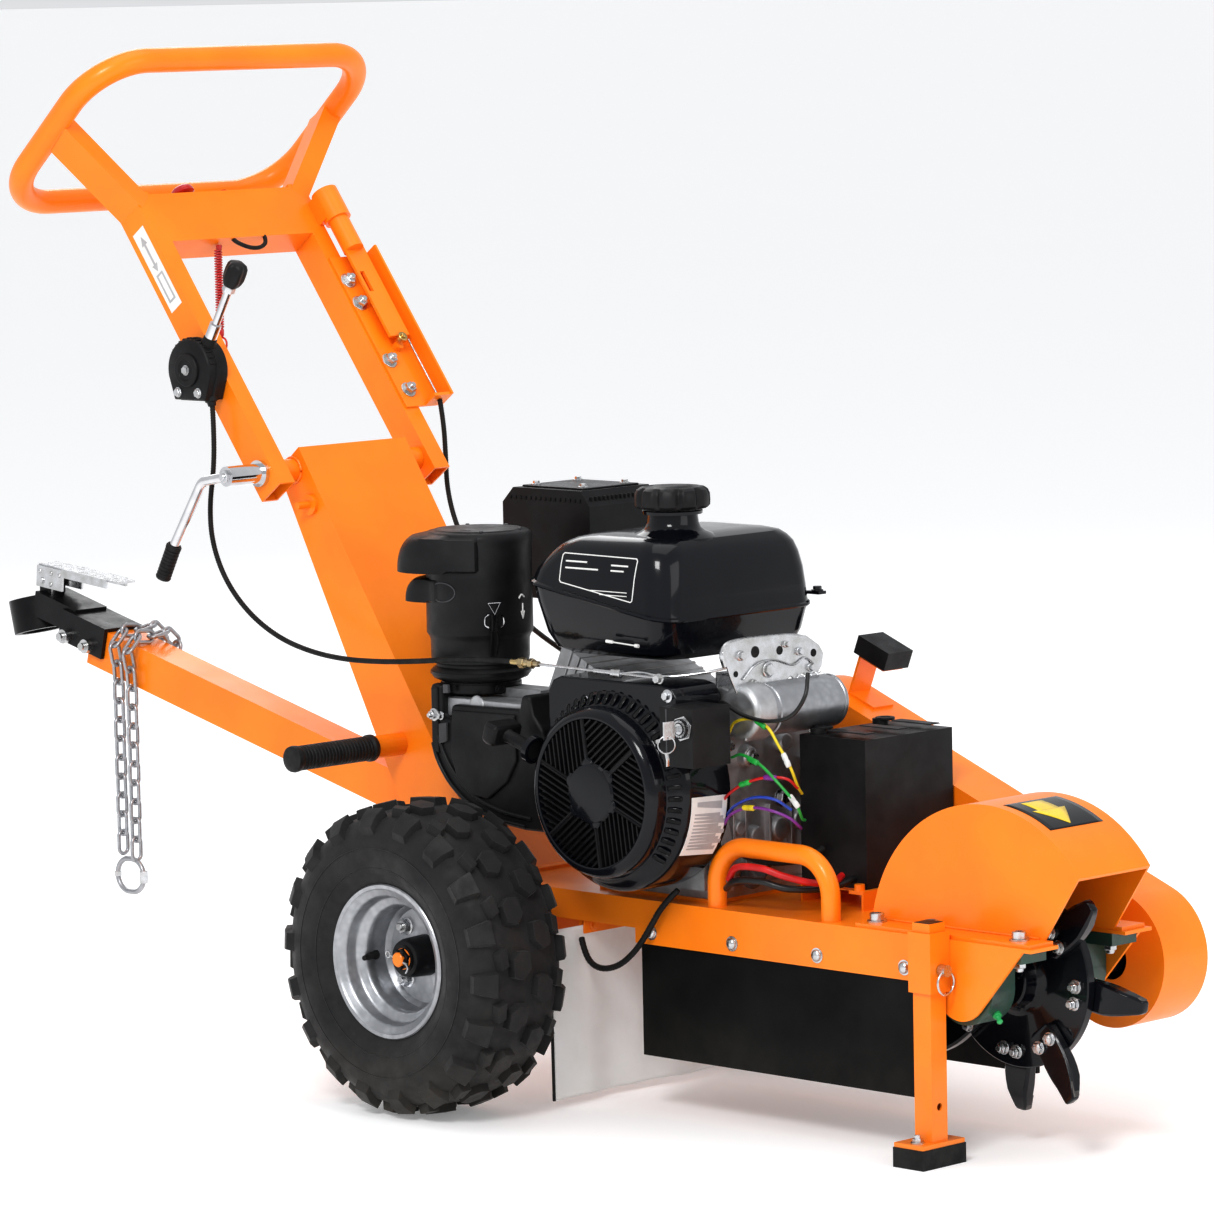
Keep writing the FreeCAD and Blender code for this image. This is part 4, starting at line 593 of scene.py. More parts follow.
def rim(side, name):
    """A pressed steel rim with stepped rings, a dished disc, its hub, nuts and the castle nut."""
    centre = P(0, side * WHEEL_Y, WHEEL_Z)
    out = ACROSS * side
    wheel = "wheel_" + name
    shape = Shape()
    half = [(59.5, 85), (60, 88), (58.6, 89.3), (56.9, 88.6), (56.2, 86), (55.5, 80), (52, 77.6), (41, 76.8),
        (38.5, 74.8), (36, 67.5), (33, 65), (20, 64.4), (0, 64.2)]
    inner = [(a, r - 2.6) for a, r in [(59.3, 86.4), (56.5, 84.2), (54.6, 78.6), (51, 76.4), (40, 75.4),
        (37, 72.8), (34.8, 66.2), (32, 63.6), (20, 63.0), (0, 62.8)]]
    profile = half + [(-a, r) for a, r in half[::-1][1:]] + [(-a, r) for a, r in inner] + inner[::-1][1:]
    shape.lathe(centre, out, profile, 80, loop=True)
    # the disc: a dished plate with a rolled step
    disc = [(4, 61.6), (4, 58), (-1.5, 54), (-3, 46), (-3.2, 30), (-3, 22), (-0.6, 22), (-0.6, 30), (-0.4, 46),
        (1.2, 55), (6.6, 59.5), (6.6, 61.6)]
    shape.lathe(centre, out, [(a - 2, r) for a, r in disc], 72, loop=True)
    put(shape, "rim_" + name + "_pressed", "galvanised", wheel, angle=40, replaces=["rim_" + name])
    hub = Shape()
    hub.lathe(centre, out, [(-29, 0), (-29, 26), (-8, 26), (-6.5, 33.5), (-4, 33.5), (-3.8, 24), (26, 22.5),
        (30.5, 20.5), (31.5, 17), (31.5, 0)], 48)
    put(hub, "hub_" + name, "satin_black", wheel)
    fixings = Shape()
    for k in range(4):
        at = centre + spoke(radians(45 + 90 * k)) * 0.043 + out * -0.0028
        fixings.bolt(at, out, 8.5, 8.0, 10.5, stud=4.8, turn=k * 0.4)
    put(fixings, "wheel_nuts_" + name, "zinc", wheel)
    # axle end, castle nut and split pin
    nut = Shape()
    nut.lathe(centre + out * 0.0318, out, [(0, 0), (0, 15.5), (1.6, 15.5), (1.6, 0)], 32)
    nut.prism(centre + out * 0.0334, out, 6, 12.8, 5.4, 0.35, 0.6)
    for k in range(6):
        angle = radians(60 * k + 50)
        nut.prism(centre + out * 0.0388 + spoke(angle) * 0.0086, out, 4, 2.9, 1.9, angle, 0.4)
    put(nut, "castle_nut_" + name, "satin_black")
    end = Shape()
    end.lathe(centre + out * 0.030, out, [(0, 0), (0, 8.4), (11.5, 8.4), (12.7, 7.2), (12.7, 0)], 32)
    put(end, "axle_end_" + name, "orange")
    pin = Shape()
    base = centre + out * 0.0402
    pin.sweep([base + Vector((-0.0135, 0, 0.004)), base + Vector((0.0135, 0, -0.004))], 1.5, 8)
    pin.sweep(smooth_path([base + Vector((0.0125, 0, -0.004)), base + Vector((0.0150, 0, -0.009)),
        base + Vector((0.0115, 0, -0.0145))], 5), 1.1, 8)
    loop = [base + Vector((-0.017, 0, 0.0045)) + spoke(a) * 0.0036 for a in steps_round(12)]
    pin.sweep(loop, 1.2, 8, closed=True)
    put(pin, "split_pin_" + name, "zinc")
    # the tyre valve, on the rim's well
    valve = Shape()
    inward = spoke(radians(183))
    foot = centre + inward * 0.0635 + out * 0.018
    lean = (out - inward * 0.45).normalized()
    valve.lathe(foot, lean, [(0, 0), (0, 6.6), (4, 5.8), (7, 4.2), (20, 3.9), (20.5, 3.1), (30, 3.1), (31, 2.6),
        (31, 0)], 20)
    put(valve, "tyre_valve_" + name, "rubber", wheel)


# ------------------------------------------------------------------ engine
CRANK = (219.0, 379.0)


def rounded_ring(xs, ys, level, corner, drop=0.0, steps=6):
    """A rounded rectangle at a height; drop lowers its forward end."""
    (x0, x1), (y0, y1) = xs, ys
    ring = []
    for cx, cy, start in ((x1 - corner, y1 - corner, 0), (x0 + corner, y1 - corner, 90),
            (x0 + corner, y0 + corner, 180), (x1 - corner, y0 + corner, 270)):
        for k in range(steps + 1):
            angle = radians(start + 90 * k / steps)
            x, y = cx + corner * cos(angle), cy + corner * sin(angle)
            ring.append(P(x, y, level - drop * (x - x0) / (x1 - x0)))
    return ring


TANK = ((523, 112, 262, -108, 74, 30, 0), (524.5, 100, 272, -120, 86, 30, 0), (531, 88, 280, -132, 96, 30, 0),
        (548, 80, 285, -139, 101, 30, 4), (585, 72, 288.5, -146, 105.5, 30, 20), (603, 69, 289.5, -148, 107, 30, 34),
        (604.5, 66, 291.6, -150.6, 108.6, 32, 36), (606, 64.5, 292.6, -151.6, 109.6, 32, 36),
        (608.5, 64.8, 292.3, -151.3, 109.3, 32, 36), (610, 68.5, 289.8, -148.4, 107.2, 30, 36),
        (614, 69.5, 289.3, -147.8, 107, 30, 35.5), (622, 74, 288.4, -146.6, 105.6, 30, 29),
        (632, 84, 287.0, -145.2, 104, 32, 18), (641, 93, 284.0, -142.4, 101.4, 34, 9),
        (648, 101, 280.0, -138.8, 97.6, 34, 4), (653, 109, 275.0, -133.5, 92.5, 34, 1.5),
        (657, 118, 269.0, -127, 86, 33, 0), (660, 131, 258.0, -115, 74, 30, 0), (661.6, 150, 240.0, -96, 56, 26, 0))


def tank_face(x, z):
    """How far out the tank's near side is at a place on it."""
    levels = [(level - drop * (x - x0) / (x1 - x0), y0) for level, x0, x1, y0, _, _, drop in TANK]
    for (low, first), (high, second) in zip(levels, levels[1:]):
        if low <= z <= high and abs(first - second) < 6:
            return first + (second - first) * (z - low) / max(high - low, 0.01)
    return -148.0


def fuel_tank():
    shape = Shape()
    shape.rings([rounded_ring((x0, x1), (y0, y1), level, corner, drop) for level, x0, x1, y0, y1, corner,
        drop in TANK])
    put(shape, "fuel_tank_shell", "gloss_black", angle=24, replaces=["fuel_tank"])
    neck = Shape()
    x, y = 222, -60
    neck.lathe(P(x, y, 652), UP, [(0, 50), (5.5, 50), (9.5, 44), (12, 37), (16, 32), (22, 29.5), (31, 28.5),
        (31.5, 34), (35, 34.5), (36, 33.5), (36, 20), (0, 20)], 64, loop=True)
    neck.box((266, 109.5, 580), (288, 122, 583.5))
    neck.bolt(P(279, 117, 583.5), UP, 5, 4, 7)
    put(neck, "fuel_tank_neck", "gloss_black", angle=40)
    cap = Shape()
    rings = []
    for level, radius, depth in ((689.5, 34, 0), (690, 39.5, 0.35), (693, 42.6, 0.8), (698, 43, 1.0),
            (706, 42.6, 1.0), (711, 40.4, 0.9), (713.6, 36.5, 0.5), (714.2, 33, 0.1), (713.2, 30.5, 0),
            (713.6, 24, 0), (715.2, 21.5, 0), (715.8, 12, 0)):
        ring = []
        for k in range(120):
            angle = 2 * pi * k / 120
            dent = max(0.0, cos(10 * angle) - 0.35) / 0.65
            ring.append(P(x + (radius - 4.6 * depth * dent) * cos(angle),
                y + (radius - 4.6 * depth * dent) * sin(angle), level))
        rings.append(ring)
    cap.rings(rings)
    put(cap, "fuel_cap_lobed", "black_plastic", "fuel_cap", angle=30, replaces=["fuel_cap"])
    # a thin outline and plain bars where the real tank has its label
    outline = [(131, 640.6), (243, 639.5), (245.2, 637), (240.6, 592.6), (238.4, 590.8), (128.4, 607.6),
        (126.4, 610), (128.6, 638.4)]
    label = Shape()
    points = []
    for (xa, za), (xb, zb) in zip(outline, outline[1:] + outline[:1]):
        for k in range(8):
            a, b = xa + (xb - xa) * k / 8, za + (zb - za) * k / 8
            points.append(P(a, tank_face(a, b) - 0.1, b))
    label.sweep(points, 0.75, 6, closed=True)
    for (a, c), z in (((135, 168), 632), ((135, 186), 624.5), ((206, 232), 630.5), ((206, 226), 624.5),
            ((176, 232), 601), ((190, 232), 597)):
        bar = [P(a + (c - a) * k / 6, tank_face(a + (c - a) * k / 6, z) - 0.1, z) for k in range(7)]
        label.sweep(bar, 0.6 if z < 610 else 1.1, 6)
    icon = [P(200 + 5 * k, tank_face(200 + 5 * k, 545 - 0.25 * k) - 0.1, 545 - 0.25 * k) for k in range(11)]
    label.sweep(icon, 0.9, 6)
    label.sweep([icon[0], icon[1], icon[2]], 2.0, 8)
    label.sweep([icon[-2], icon[-1]], 2.2, 8)
    put(label, "tank_marks", "white_label")


def air_cleaner():
    x, y = -64, -90
    base = P(x, y, 0)
    shape = Shape()
    shape.lathe(base, UP, [(464, 0), (464, 41), (466, 46), (478, 46), (480, 50), (482, 55), (486, 57.6),
        (491, 57.8), (494, 55), (496, 52), (499, 52), (501, 56.4), (506, 57.4), (527, 57.8), (531, 59.2),
        (534, 61.4), (536, 62), (638, 62), (641, 62.8), (647, 62.8), (650.5, 61.2), (652.6, 58), (653.2, 52),
        (654.6, 50.5), (655, 44), (655, 0)], 96)
    put(shape, "canister_shell", "black_plastic", angle=38, replaces=["air_cleaner"])

    def at(angle, radius, z):
        return P(x + radius * cos(radians(angle)), y + radius * sin(radians(angle)), z)

    def scoop(start, end, low, high, shallow, deep, name):
        """A hood that grows from the wall's own curve to a quarter dome, open below."""
        hood = Shape()
        rings = []
        steps = 44
        for k in range(steps + 1):
            t = k / steps
            angle = start + (end - start) * t
            rise = min(1.0, max(0.0, (t - 0.12) / 0.36), max(0.0, (1 - t) / 0.25))
            rise = rise * rise * (3 - 2 * rise)
            depth = shallow + (deep - shallow) * rise
            power = 7 - 4.6 * rise
            edge = min(1.0, t / 0.035, (1 - t) / 0.035)
            edge = sqrt(max(0.0, 1 - (1 - edge) ** 2))
            ring = [at(angle, 60.5, high)]
            for j in range(13):
                u = 1 - j / 12
                out = depth * edge * (1 - u ** power) ** (1 / power)
                ring.append(at(angle, 61.6 + out, low + (high - low) * (u if rise > 0.1 else 0.08 + 0.88 * u)))
            ring.append(at(angle, 60.5, low))
            rings.append(ring)
        hood.rings(rings)
        return put(hood, name, "black_plastic", angle=40)

    scoop(-44, -222, 607, 651, 6.5, 33, "canister_scoop_high")
    scoop(-96, -190, 571, 600, 2.0, 25, "canister_scoop_low")
    badge = Shape()
    loop = [at(-88 + 17 * cos(a), 62.4, 585 + 11 * sin(a)) for a in steps_round(36)]
    badge.sweep(loop, 0.7, 6, closed=True)
    for a in (-40, 30, 95, 150):
        badge.lathe(at(a, 50, 654.2), UP, [(0, 0), (0, 2.6), (1.6, 2.0), (1.8, 0)], 16)
    badge.box((x + 6, y - 34, 653.6), (x + 18, y - 29, 655.4))
    put(badge, "canister_marks", "pale_grey_plastic")
    clip = Shape()
    clip.sweep([at(-29, 64.5, 541), at(-29, 65.5, 553), at(-29, 64.5, 560)], 5.0, 10, flat=0.35)
    clip.sweep([at(-29, 58.6, 512), at(-29, 63.4, 528), at(-29, 65, 541)], 6.5, 10, flat=0.3)
    put(clip, "canister_strap", "satin_black")
    wire = Shape()
    wire.sweep([at(-35.5, 64.2, 573), at(-22.5, 64.2, 573), at(-29, 66.5, 560)], 0.9, 8, closed=True)
    for sign in (-1, 1):
        wire.sweep(smooth_path([at(-29 + 5.5 * sign, 65.2, 560), at(-29 + 9.5 * sign, 64.6, 556),
            at(-29 + 9.5 * sign, 64.6, 548), at(-29 + 6 * sign, 65.4, 545)], 5), 1.1, 8)
    put(wire, "canister_clip_wire", "chrome")
    arrow = Shape()
    arrow.sweep([at(9, 62.3, 570), at(9, 62.3, 558)], 1.0, 6)
    arrow.sweep([at(6.4, 62.3, 561), at(9, 62.3, 552.5), at(11.6, 62.3, 561)], 1.0, 6)
    arrow.sweep(smooth_path([at(3, 62.3, 576), at(7, 62.3, 580), at(12, 62.3, 577)], 5), 1.1, 6)
    put(arrow, "canister_arrow", "white_label", slot="black_plastic")
    clamp = Shape()
    clamp.lathe(base, UP, [(467, 46), (467, 47.4), (476, 47.4), (476, 46)], 72, loop=True)
    clamp.lathe(base, UP, [(486.9, 57), (486.9, 58.8), (490.1, 58.8), (490.1, 57)], 96, loop=True)
    clamp.bolt(at(-20, 50, 471.5), (0.94, -0.34, 0), 4.4, 5, 5.4)
    clamp.bolt(at(-118, 52, 471.5), (-0.47, -0.88, 0), 4.4, 5, 5.4)
    put(clamp, "canister_clamp", "satin_black")


def intake_shroud():
    shape = Shape()
    curve = [(-88, 404), (-83, 389), (-74, 374), (-60, 358), (-38, 341.5), (-14, 330.5), (18, 322.5), (62, 318)]
    outline = [(-88, 477.4), (-69, 477.4), (-69, 440), (-56, 437), (-54, 455), (58, 457), (62, 474), (76, 474),
        (80, 452), (96, 436), (100, 410), (112, 396), (112, 318)] + curve[::-1]
    shape.outline(outline, -150, -100)
    put(shape, "intake_shroud_shell", "black_plastic", bevel=5.0, segments=4, replaces=["intake_shroud"])
    panel = Shape()
    panel.outline([(-50, 449), (54, 451), (56, 398), (40, 372), (8, 350), (-22, 352), (-44, 372), (-52, 396)],
        -153.5, -148)
    panel.outline([(-84, 474), (-73, 474), (-73, 396), (-84, 402)], -153, -148)
    put(panel, "intake_shroud_panel", "black_plastic", bevel=2.2, segments=3)
    facets = Shape()
    facets.outline([(-66, 478), (-58, 478), (-57, 468), (-66, 467)], -151, -146)
    facets.outline([(-71, 432), (-58, 434), (-58, 412), (-71, 408)], -154.2, -150)
    put(facets, "intake_shroud_facets", "pale_grey_plastic", bevel=1.2)
    ribs = Shape()
    for lift, y in ((5.04, -151.5), (14.4, -151.2)):
        ribs.sweep(smooth_path([P(a + lift, y, b + lift) for a, b in curve], 4), 2.4, 10)
    put(ribs, "intake_shroud_ribs", "black_plastic", angle=60)
    bolts = Shape()
    bolts.bolt(P(-78, -153, 442), -ACROSS, 5.5, 5, 7.5, stud=3)
    bolts.bolt(P(-70, -150, 441), -ACROSS, 4, 5, 5)
    bolts.bolt(P(-94, -128, 462), (-0.7, -0.7, 0), 4.5, 5, 6)
    put(bolts, "intake_shroud_bolts", "zinc")
    inside = Shape()
    inside.outline([(-70, 440), (70, 440), (70, 462), (-70, 462)], -140, -98)
    inside.lathe(P(-20, -139, 455), -ACROSS, [(0, 0), (0, 13), (3, 11), (3, 0)], 24)
    put(inside, "intake_duct_metal", "cast_aluminium", bevel=3)


def fan_housing():
    cx, cz = CRANK
    axis = -ACROSS
    centre = P(cx, 0, cz)
    shape = Shape()
    shape.lathe(centre, axis, [(91, 111), (91, 116), (152, 116), (158, 115), (163, 112), (166, 107.5),
        (168, 104), (176, 97.5), (176, 93), (120, 93), (120, 111)], 128, loop=True)
    shape.outline([(120.5, 384), (120.5, 486), (128, 498), (140, 503), (300, 503), (314, 500), (322, 490),
        (322, 384), (318, 352), (300, 400), (250, 440), (180, 440), (135, 400)], -163, -91)
    put(shape, "fan_housing_shell", "gloss_black", bevel=3.5, angle=30, segments=4, replaces=["fan_housing"])
    # the recoil cover: a rounded rim round a well coloured near-black as painted shade
    cover = Shape()
    cover.lathe(centre, axis, [(170, 97), (186, 97), (190, 96), (194.5, 93), (197.5, 89), (198.4, 86),
        (197.4, 84), (191, 83), (190, 80), (170, 80)], 128, loop=True)
    put(cover, "recoil_cover_rim", "gloss_black", angle=45)
    well = Shape()
    well.lathe(centre, axis, [(150, 0), (150, 98), (184, 96), (190, 84), (190.5, 0)], 96)
    put(well, "recoil_cover_well", "painted_shade")
    ribs = Shape()

    def face(u, v, out):
        return P(cx + u, -out, cz + v)

    for sector in range(6):
        lead = radians(60 * sector + 98)
        ux, uz = cos(lead), sin(lead)
        vx, vz = -uz, ux
        for row in range(11):
            d = 3.0 + 6.9 * row
            far = sqrt(max(0.0, 83.5 ** 2 - d * d))
            near = max(d / tan(radians(60)) + 2.2, sqrt(max(0.0, 34.0 ** 2 - d * d)))
            if far - near < 5:
                continue
            steps = [(near, -1.6), (far, -1.6), (far, 1.6), (near, 1.6)]
            ribs.rings([[face(ux * t + vx * (d + w * k), uz * t + vz * (d + w * k), out) for t, w in steps]
                for k, out in ((1, 189), (0.6, 196.6))])
        ribs.sweep([face(ux * t, uz * t, 196.4) for t in (32, 50, 68, 84)], 2.0, 8)
    put(ribs, "recoil_cover_ribs", "satin_black", slot="black_paint", angle=30)
    cap = Shape()
    cap.lathe(centre, axis, [(188, 0), (188, 35), (196.5, 35), (199.2, 33), (199.8, 28), (199.9, 0)], 72)
    for k in range(6):
        lead = radians(60 * k + 98)
        cap.lathe(face(cos(lead) * 31.68, sin(lead) * 31.68, 0), axis, [(190, 0), (190, 9.5), (197, 9.0),
            (198.6, 7), (199, 0)], 24)
    put(cap, "recoil_cover_cap", "gloss_black", angle=30)
    # slots round the upper right of the drum's sloping face, coloured near-black as the painted shade inside them
    slots, rims = Shape(), Shape()
    count = 29
    for k in range(count):
        angle = radians(152 - 194 * k / (count - 1))
        long, thin = spoke(angle), Vector((-sin(angle), 0, cos(angle)))
        loop = []
        for a in steps_round(16):
            r = 105.6 + 5.2 * (1 if cos(a) > 0 else -1) * min(1, abs(cos(a)) * 3) + 1.4 * cos(a)
            w = 2.5 * sin(a)
            out = 176.6 - (r - 97.5) * 0.72
            loop.append(centre + (long * r + thin * w) / 1000 + Vector(axis) * (min(out, 174.4) / 1000))
        slots.rings([loop, [p + Vector(axis) * 0.0004 for p in loop]])
        rims.sweep([p + Vector(axis) * 0.0003 for p in loop], 0.75, 6, closed=True)
    put(slots, "fan_slots_painted_shade", "painted_shade")
    put(rims, "fan_slots_rims", "gloss_black", angle=60)
    bolts = Shape()
    bolts.bolts(axis, (183.5, -160, 478.5, 5, 5, 7.5), (292.3, -168.5, 338, 5, 6, 7.5), (309, -163, 492, 5, 5,
        7.5), (303, -163, 430, 4.5, 4, 6.5), (146, -168, 312, 4.5, 4, 6.5))
    put(bolts, "fan_housing_bolts", "zinc")
    # a white plate with plain grey lines
    plate, lines = Shape(), Shape()

    def on_drum(angle, y, lift):
        a = radians(angle)
        return P(cx + (116 + lift) * cos(a), y, cz + (116 + lift) * sin(a))

    def patch(target, top, low, left, right, lift, thick):
        verts, faces = [], []
        for k in range(9):
            angle = top + (low - top) * k / 8
            for rise in (lift, lift + thick):
                verts += [on_drum(angle + 1.0, left, rise), on_drum(angle - 1.8 * k / 8, right, rise)]
        for k in range(8):
            i = 4 * k
            faces += [(i + 2, i + 3, i + 7, i + 6), (i, i + 4, i + 5, i + 1), (i, i + 2, i + 6, i + 4),
                (i + 1, i + 5, i + 7, i + 3)]
        faces += [(0, 1, 3, 2), (32, 34, 35, 33)]
        target.add(verts, faces)

    patch(plate, -1, -36, -155, -98, 0.1, 0.5)
    for k in range(11):
        angle = -10.5 - 2.1 * k
        reach = -108 + 6 * ((k * 7) % 3)
        patch(lines, angle, angle - 0.8, -149, reach, 0.6, 0.15)
    patch(lines, -4, -6.6, -146, -106, 0.6, 0.15)
    put(plate, "drum_plate", "white_label")
    put(lines, "drum_plate_lines", "grey_print")


def recoil_handle():
    shape = Shape()
    start, pull = Vector((113, -186, 421)), Vector((-0.953, 0, 0.302)).normalized()
    up = Vector((0.302, 0, 0.953))

    def at(along, y, rise):
        spot = start + pull * along + up * rise
        return P(spot.x, spot.y + y, spot.z)

    origin = at(0, 0, 0)
    shape.lathe(origin, pull, [(-6, 0), (-6, 14), (-2, 14), (2, 9.5), (8, 8.2), (34, 7.6), (38, 9), (40, 0)],
        32)
    rings = []
    for along, half, tall in ((37.5, 19, 9.5), (40, 22, 12), (50, 22.6, 13), (57, 21, 12), (59.5, 17.5, 9)):
        rings.append([at(along, y * half, z * tall) for y, z in ((-1, -0.7), (-0.86, -1), (0.86, -1), (1, -0.7),
            (1, 0.7), (0.86, 1), (-0.86, 1), (-1, 0.7))])
    shape.rings(rings)
    put(shape, "recoil_handle_grip", "black_plastic", "recoil_handle", bevel=1.4, segments=3,
        replaces=["recoil_handle"])
    exit_ring = Shape()
    exit_ring.lathe(at(-1, 0, 0), pull, [(-7, 11.5), (-7, 16), (0, 16), (1.4, 14.5), (1.4, 11.5)], 32,
        loop=True)
    put(exit_ring, "rope_exit_ring", "gloss_black")


def control_box():
    lock = Shape()
    lock.lathe(P(357, -189.6, 462), -ACROSS, [(0, 7), (0, 12.5), (1.5, 12.5), (2, 11), (5.5, 11), (6.4, 10),
        (6.4, 7)], 40, loop=True)
    lock.prism(P(357, -190, 462), -ACROSS, 6, 14.5, 1.6, 0.3)
    put(lock, "lock_ring", "zinc", bevel=0.3)
    ring = Shape()
    hang = P(357, -216, 453)
    loop = [hang + Vector((0.0095 * cos(a) * 0.7, 0.0095 * cos(a) * 0.7, 0.0095 * sin(a) - 0.0065))
        for a in steps_round(28)]
    ring.sweep(loop, 0.8, 8, closed=True)
    ring.sweep(smooth_path([P(357, -216, 437.5), P(358, -215, 430), P(357, -214, 423)], 4), 3.2, 10, flat=0.35)
    put(ring, "key_ring_and_tag", "zinc", "ignition_key")
    seam = Shape()
    seam.box((331, -190.6, 420), (333, -188, 482))
    put(seam, "control_box_seam", "pale_grey_plastic", bevel=0.6)


def governor():
    shape = Shape()
    outline = [(-113, 538), (-103, 548), (-77, 551), (-10, 549.5), (25, 544.5), (46, 532), (53, 522), (50, 508),
        (40, 497), (24, 491), (8, 493.5), (-2, 501), (-10, 497), (-18, 491), (-34, 491), (-48, 487), (-56, 489),
        (-66, 483), (-85, 483), (-92, 492.5), (-100, 507), (-106, 522)]
    shape.outline(outline, 343.8, 346.2, "YZ")
    shape.box((284, -60, 504), (344, -20, 507))
    shape.box((284, -60, 468), (287, -20, 506))
    put(shape, "governor_bracket", "zinc", bevel=1.0, segments=3, replaces=["governor_plate"])
    trim = Shape()
    edge = [(-106, 522), (-110, 535), (-103, 545), (-77, 548), (-10, 546.5), (22, 541.5), (44, 530)]
    trim.sweep(smooth_path([P(343, y, z) for y, z in edge], 5), 3.4, 10)
    trim.sweep(smooth_path([P(347.5, y, z) for y, z in ((-82, 505), (-60, 520), (-30, 522), (0, 514), (20, 520),
        (34, 512))], 6), 1.3, 8)
    for y, z, r in ((-84, 532, 6), (-40, 512, 9), (12, 528, 5), (-64, 500, 4), (30, 508, 5), (-10, 538, 4)):
        trim.bolt(P(346.2, y, z), AHEAD, r * 0.8, 4, r)
    for k in range(26):
        a = k * 0.9
        y = 48 - 1.6 * k
        if k:
            trim.sweep([P(349.5 + 3 * cos(a - 0.9), y + 1.6, 499 + 3 * sin(a - 0.9)), P(349.5 + 3 * cos(a), y,
                499 + 3 * sin(a))], 0.7, 6)
    put(trim, "governor_fittings", "zinc")
    # painted shade: near-black discs flush on the plate where it has holes
    holes = Shape()
    for y, z, r in ((-60, 534, 6.5), (-20, 532, 5), (36, 524, 4.5), (-92, 512, 3.5)):
        holes.lathe(P(346.25, y, z), AHEAD, [(0, 0), (0, r), (0.35, r), (0.35, 0)], 28)
    put(holes, "governor_holes", "painted_shade", slot="zinc_steel")
    ends = Shape()
    ends.lathe(P(62, -163, 514), AHEAD, [(0, 0), (0, 3.4), (14, 3.6), (15, 4.8), (26, 4.8), (27, 3.6),
        (44, 3.4), (44, 0)], 24)
    ends.prism(P(76, -163, 514), AHEAD, 6, 6.4, 8, 0.2, 0.6)
    ends.prism(P(92, -163, 514), AHEAD, 6, 6.0, 6, 0.5, 0.6)
    put(ends, "throttle_end_fitting", "yellow_zinc")
    rodding = Shape()
    rodding.sweep([P(104, -163, 514), P(300, -163, 511)], 1.5, 10)
    rodding.sweep([P(196, -163, 512.6), P(224, -163, 512.2)], 3.2, 12)
    rodding.lathe(P(224, -163, 512.2), AHEAD, [(0, 0), (0, 5.2), (12, 5.2), (13, 4), (13, 0)], 20)
    rodding.bolt(P(300, -166, 511), -ACROSS, 5, 6, 6)
    rodding.sweep(smooth_path([P(237, -163, 512), P(262, -160, 515), P(300, -150, 512), P(330, -122, 516),
        P(343, -104, 520)], 6), 1.6, 8)
    put(rodding, "throttle_linkage", "zinc")


def starter():
    x, z = 346, 468
    shape = Shape()
    shape.lathe(P(x, 0, z), ACROSS, [(-60, 0), (-60, 30), (-52, 30), (-51, 28.6), (-49, 28.6), (-48, 30),
        (54, 30), (55, 28.8), (57, 28.8), (58, 30), (61, 30), (66, 26), (69, 20), (71, 12), (71, 0)], 72)
    put(shape, "starter_can", "galvanised", angle=30, replaces=["starter_motor"])
    nose = Shape()
    nose.lathe(P(x, 0, z), ACROSS, [(-90, 0), (-90, 26), (-86, 31), (-64, 33.5), (-58, 33.5), (-58, 0)], 48)
    nose.outline([(290.1, 448), (330, 440), (356, 436), (356, 486), (320, 496), (290.1, 488)], -88, -62)
    put(nose, "starter_nose", "cast_aluminium", slot="galvanised", bevel=2.5)
    bolts = Shape()
    bolts.bolts(-ACROSS, (300, -88, 480, 6, 6, 8), (304, -88, 452, 6, 6, 8))
    bolts.lathe(P(x, 30, z - 28), (0, 0, -1), [(0, 0), (0, 6), (5, 6), (6, 3), (9, 3), (9, 0)], 16)
    put(bolts, "starter_bolts", "zinc")


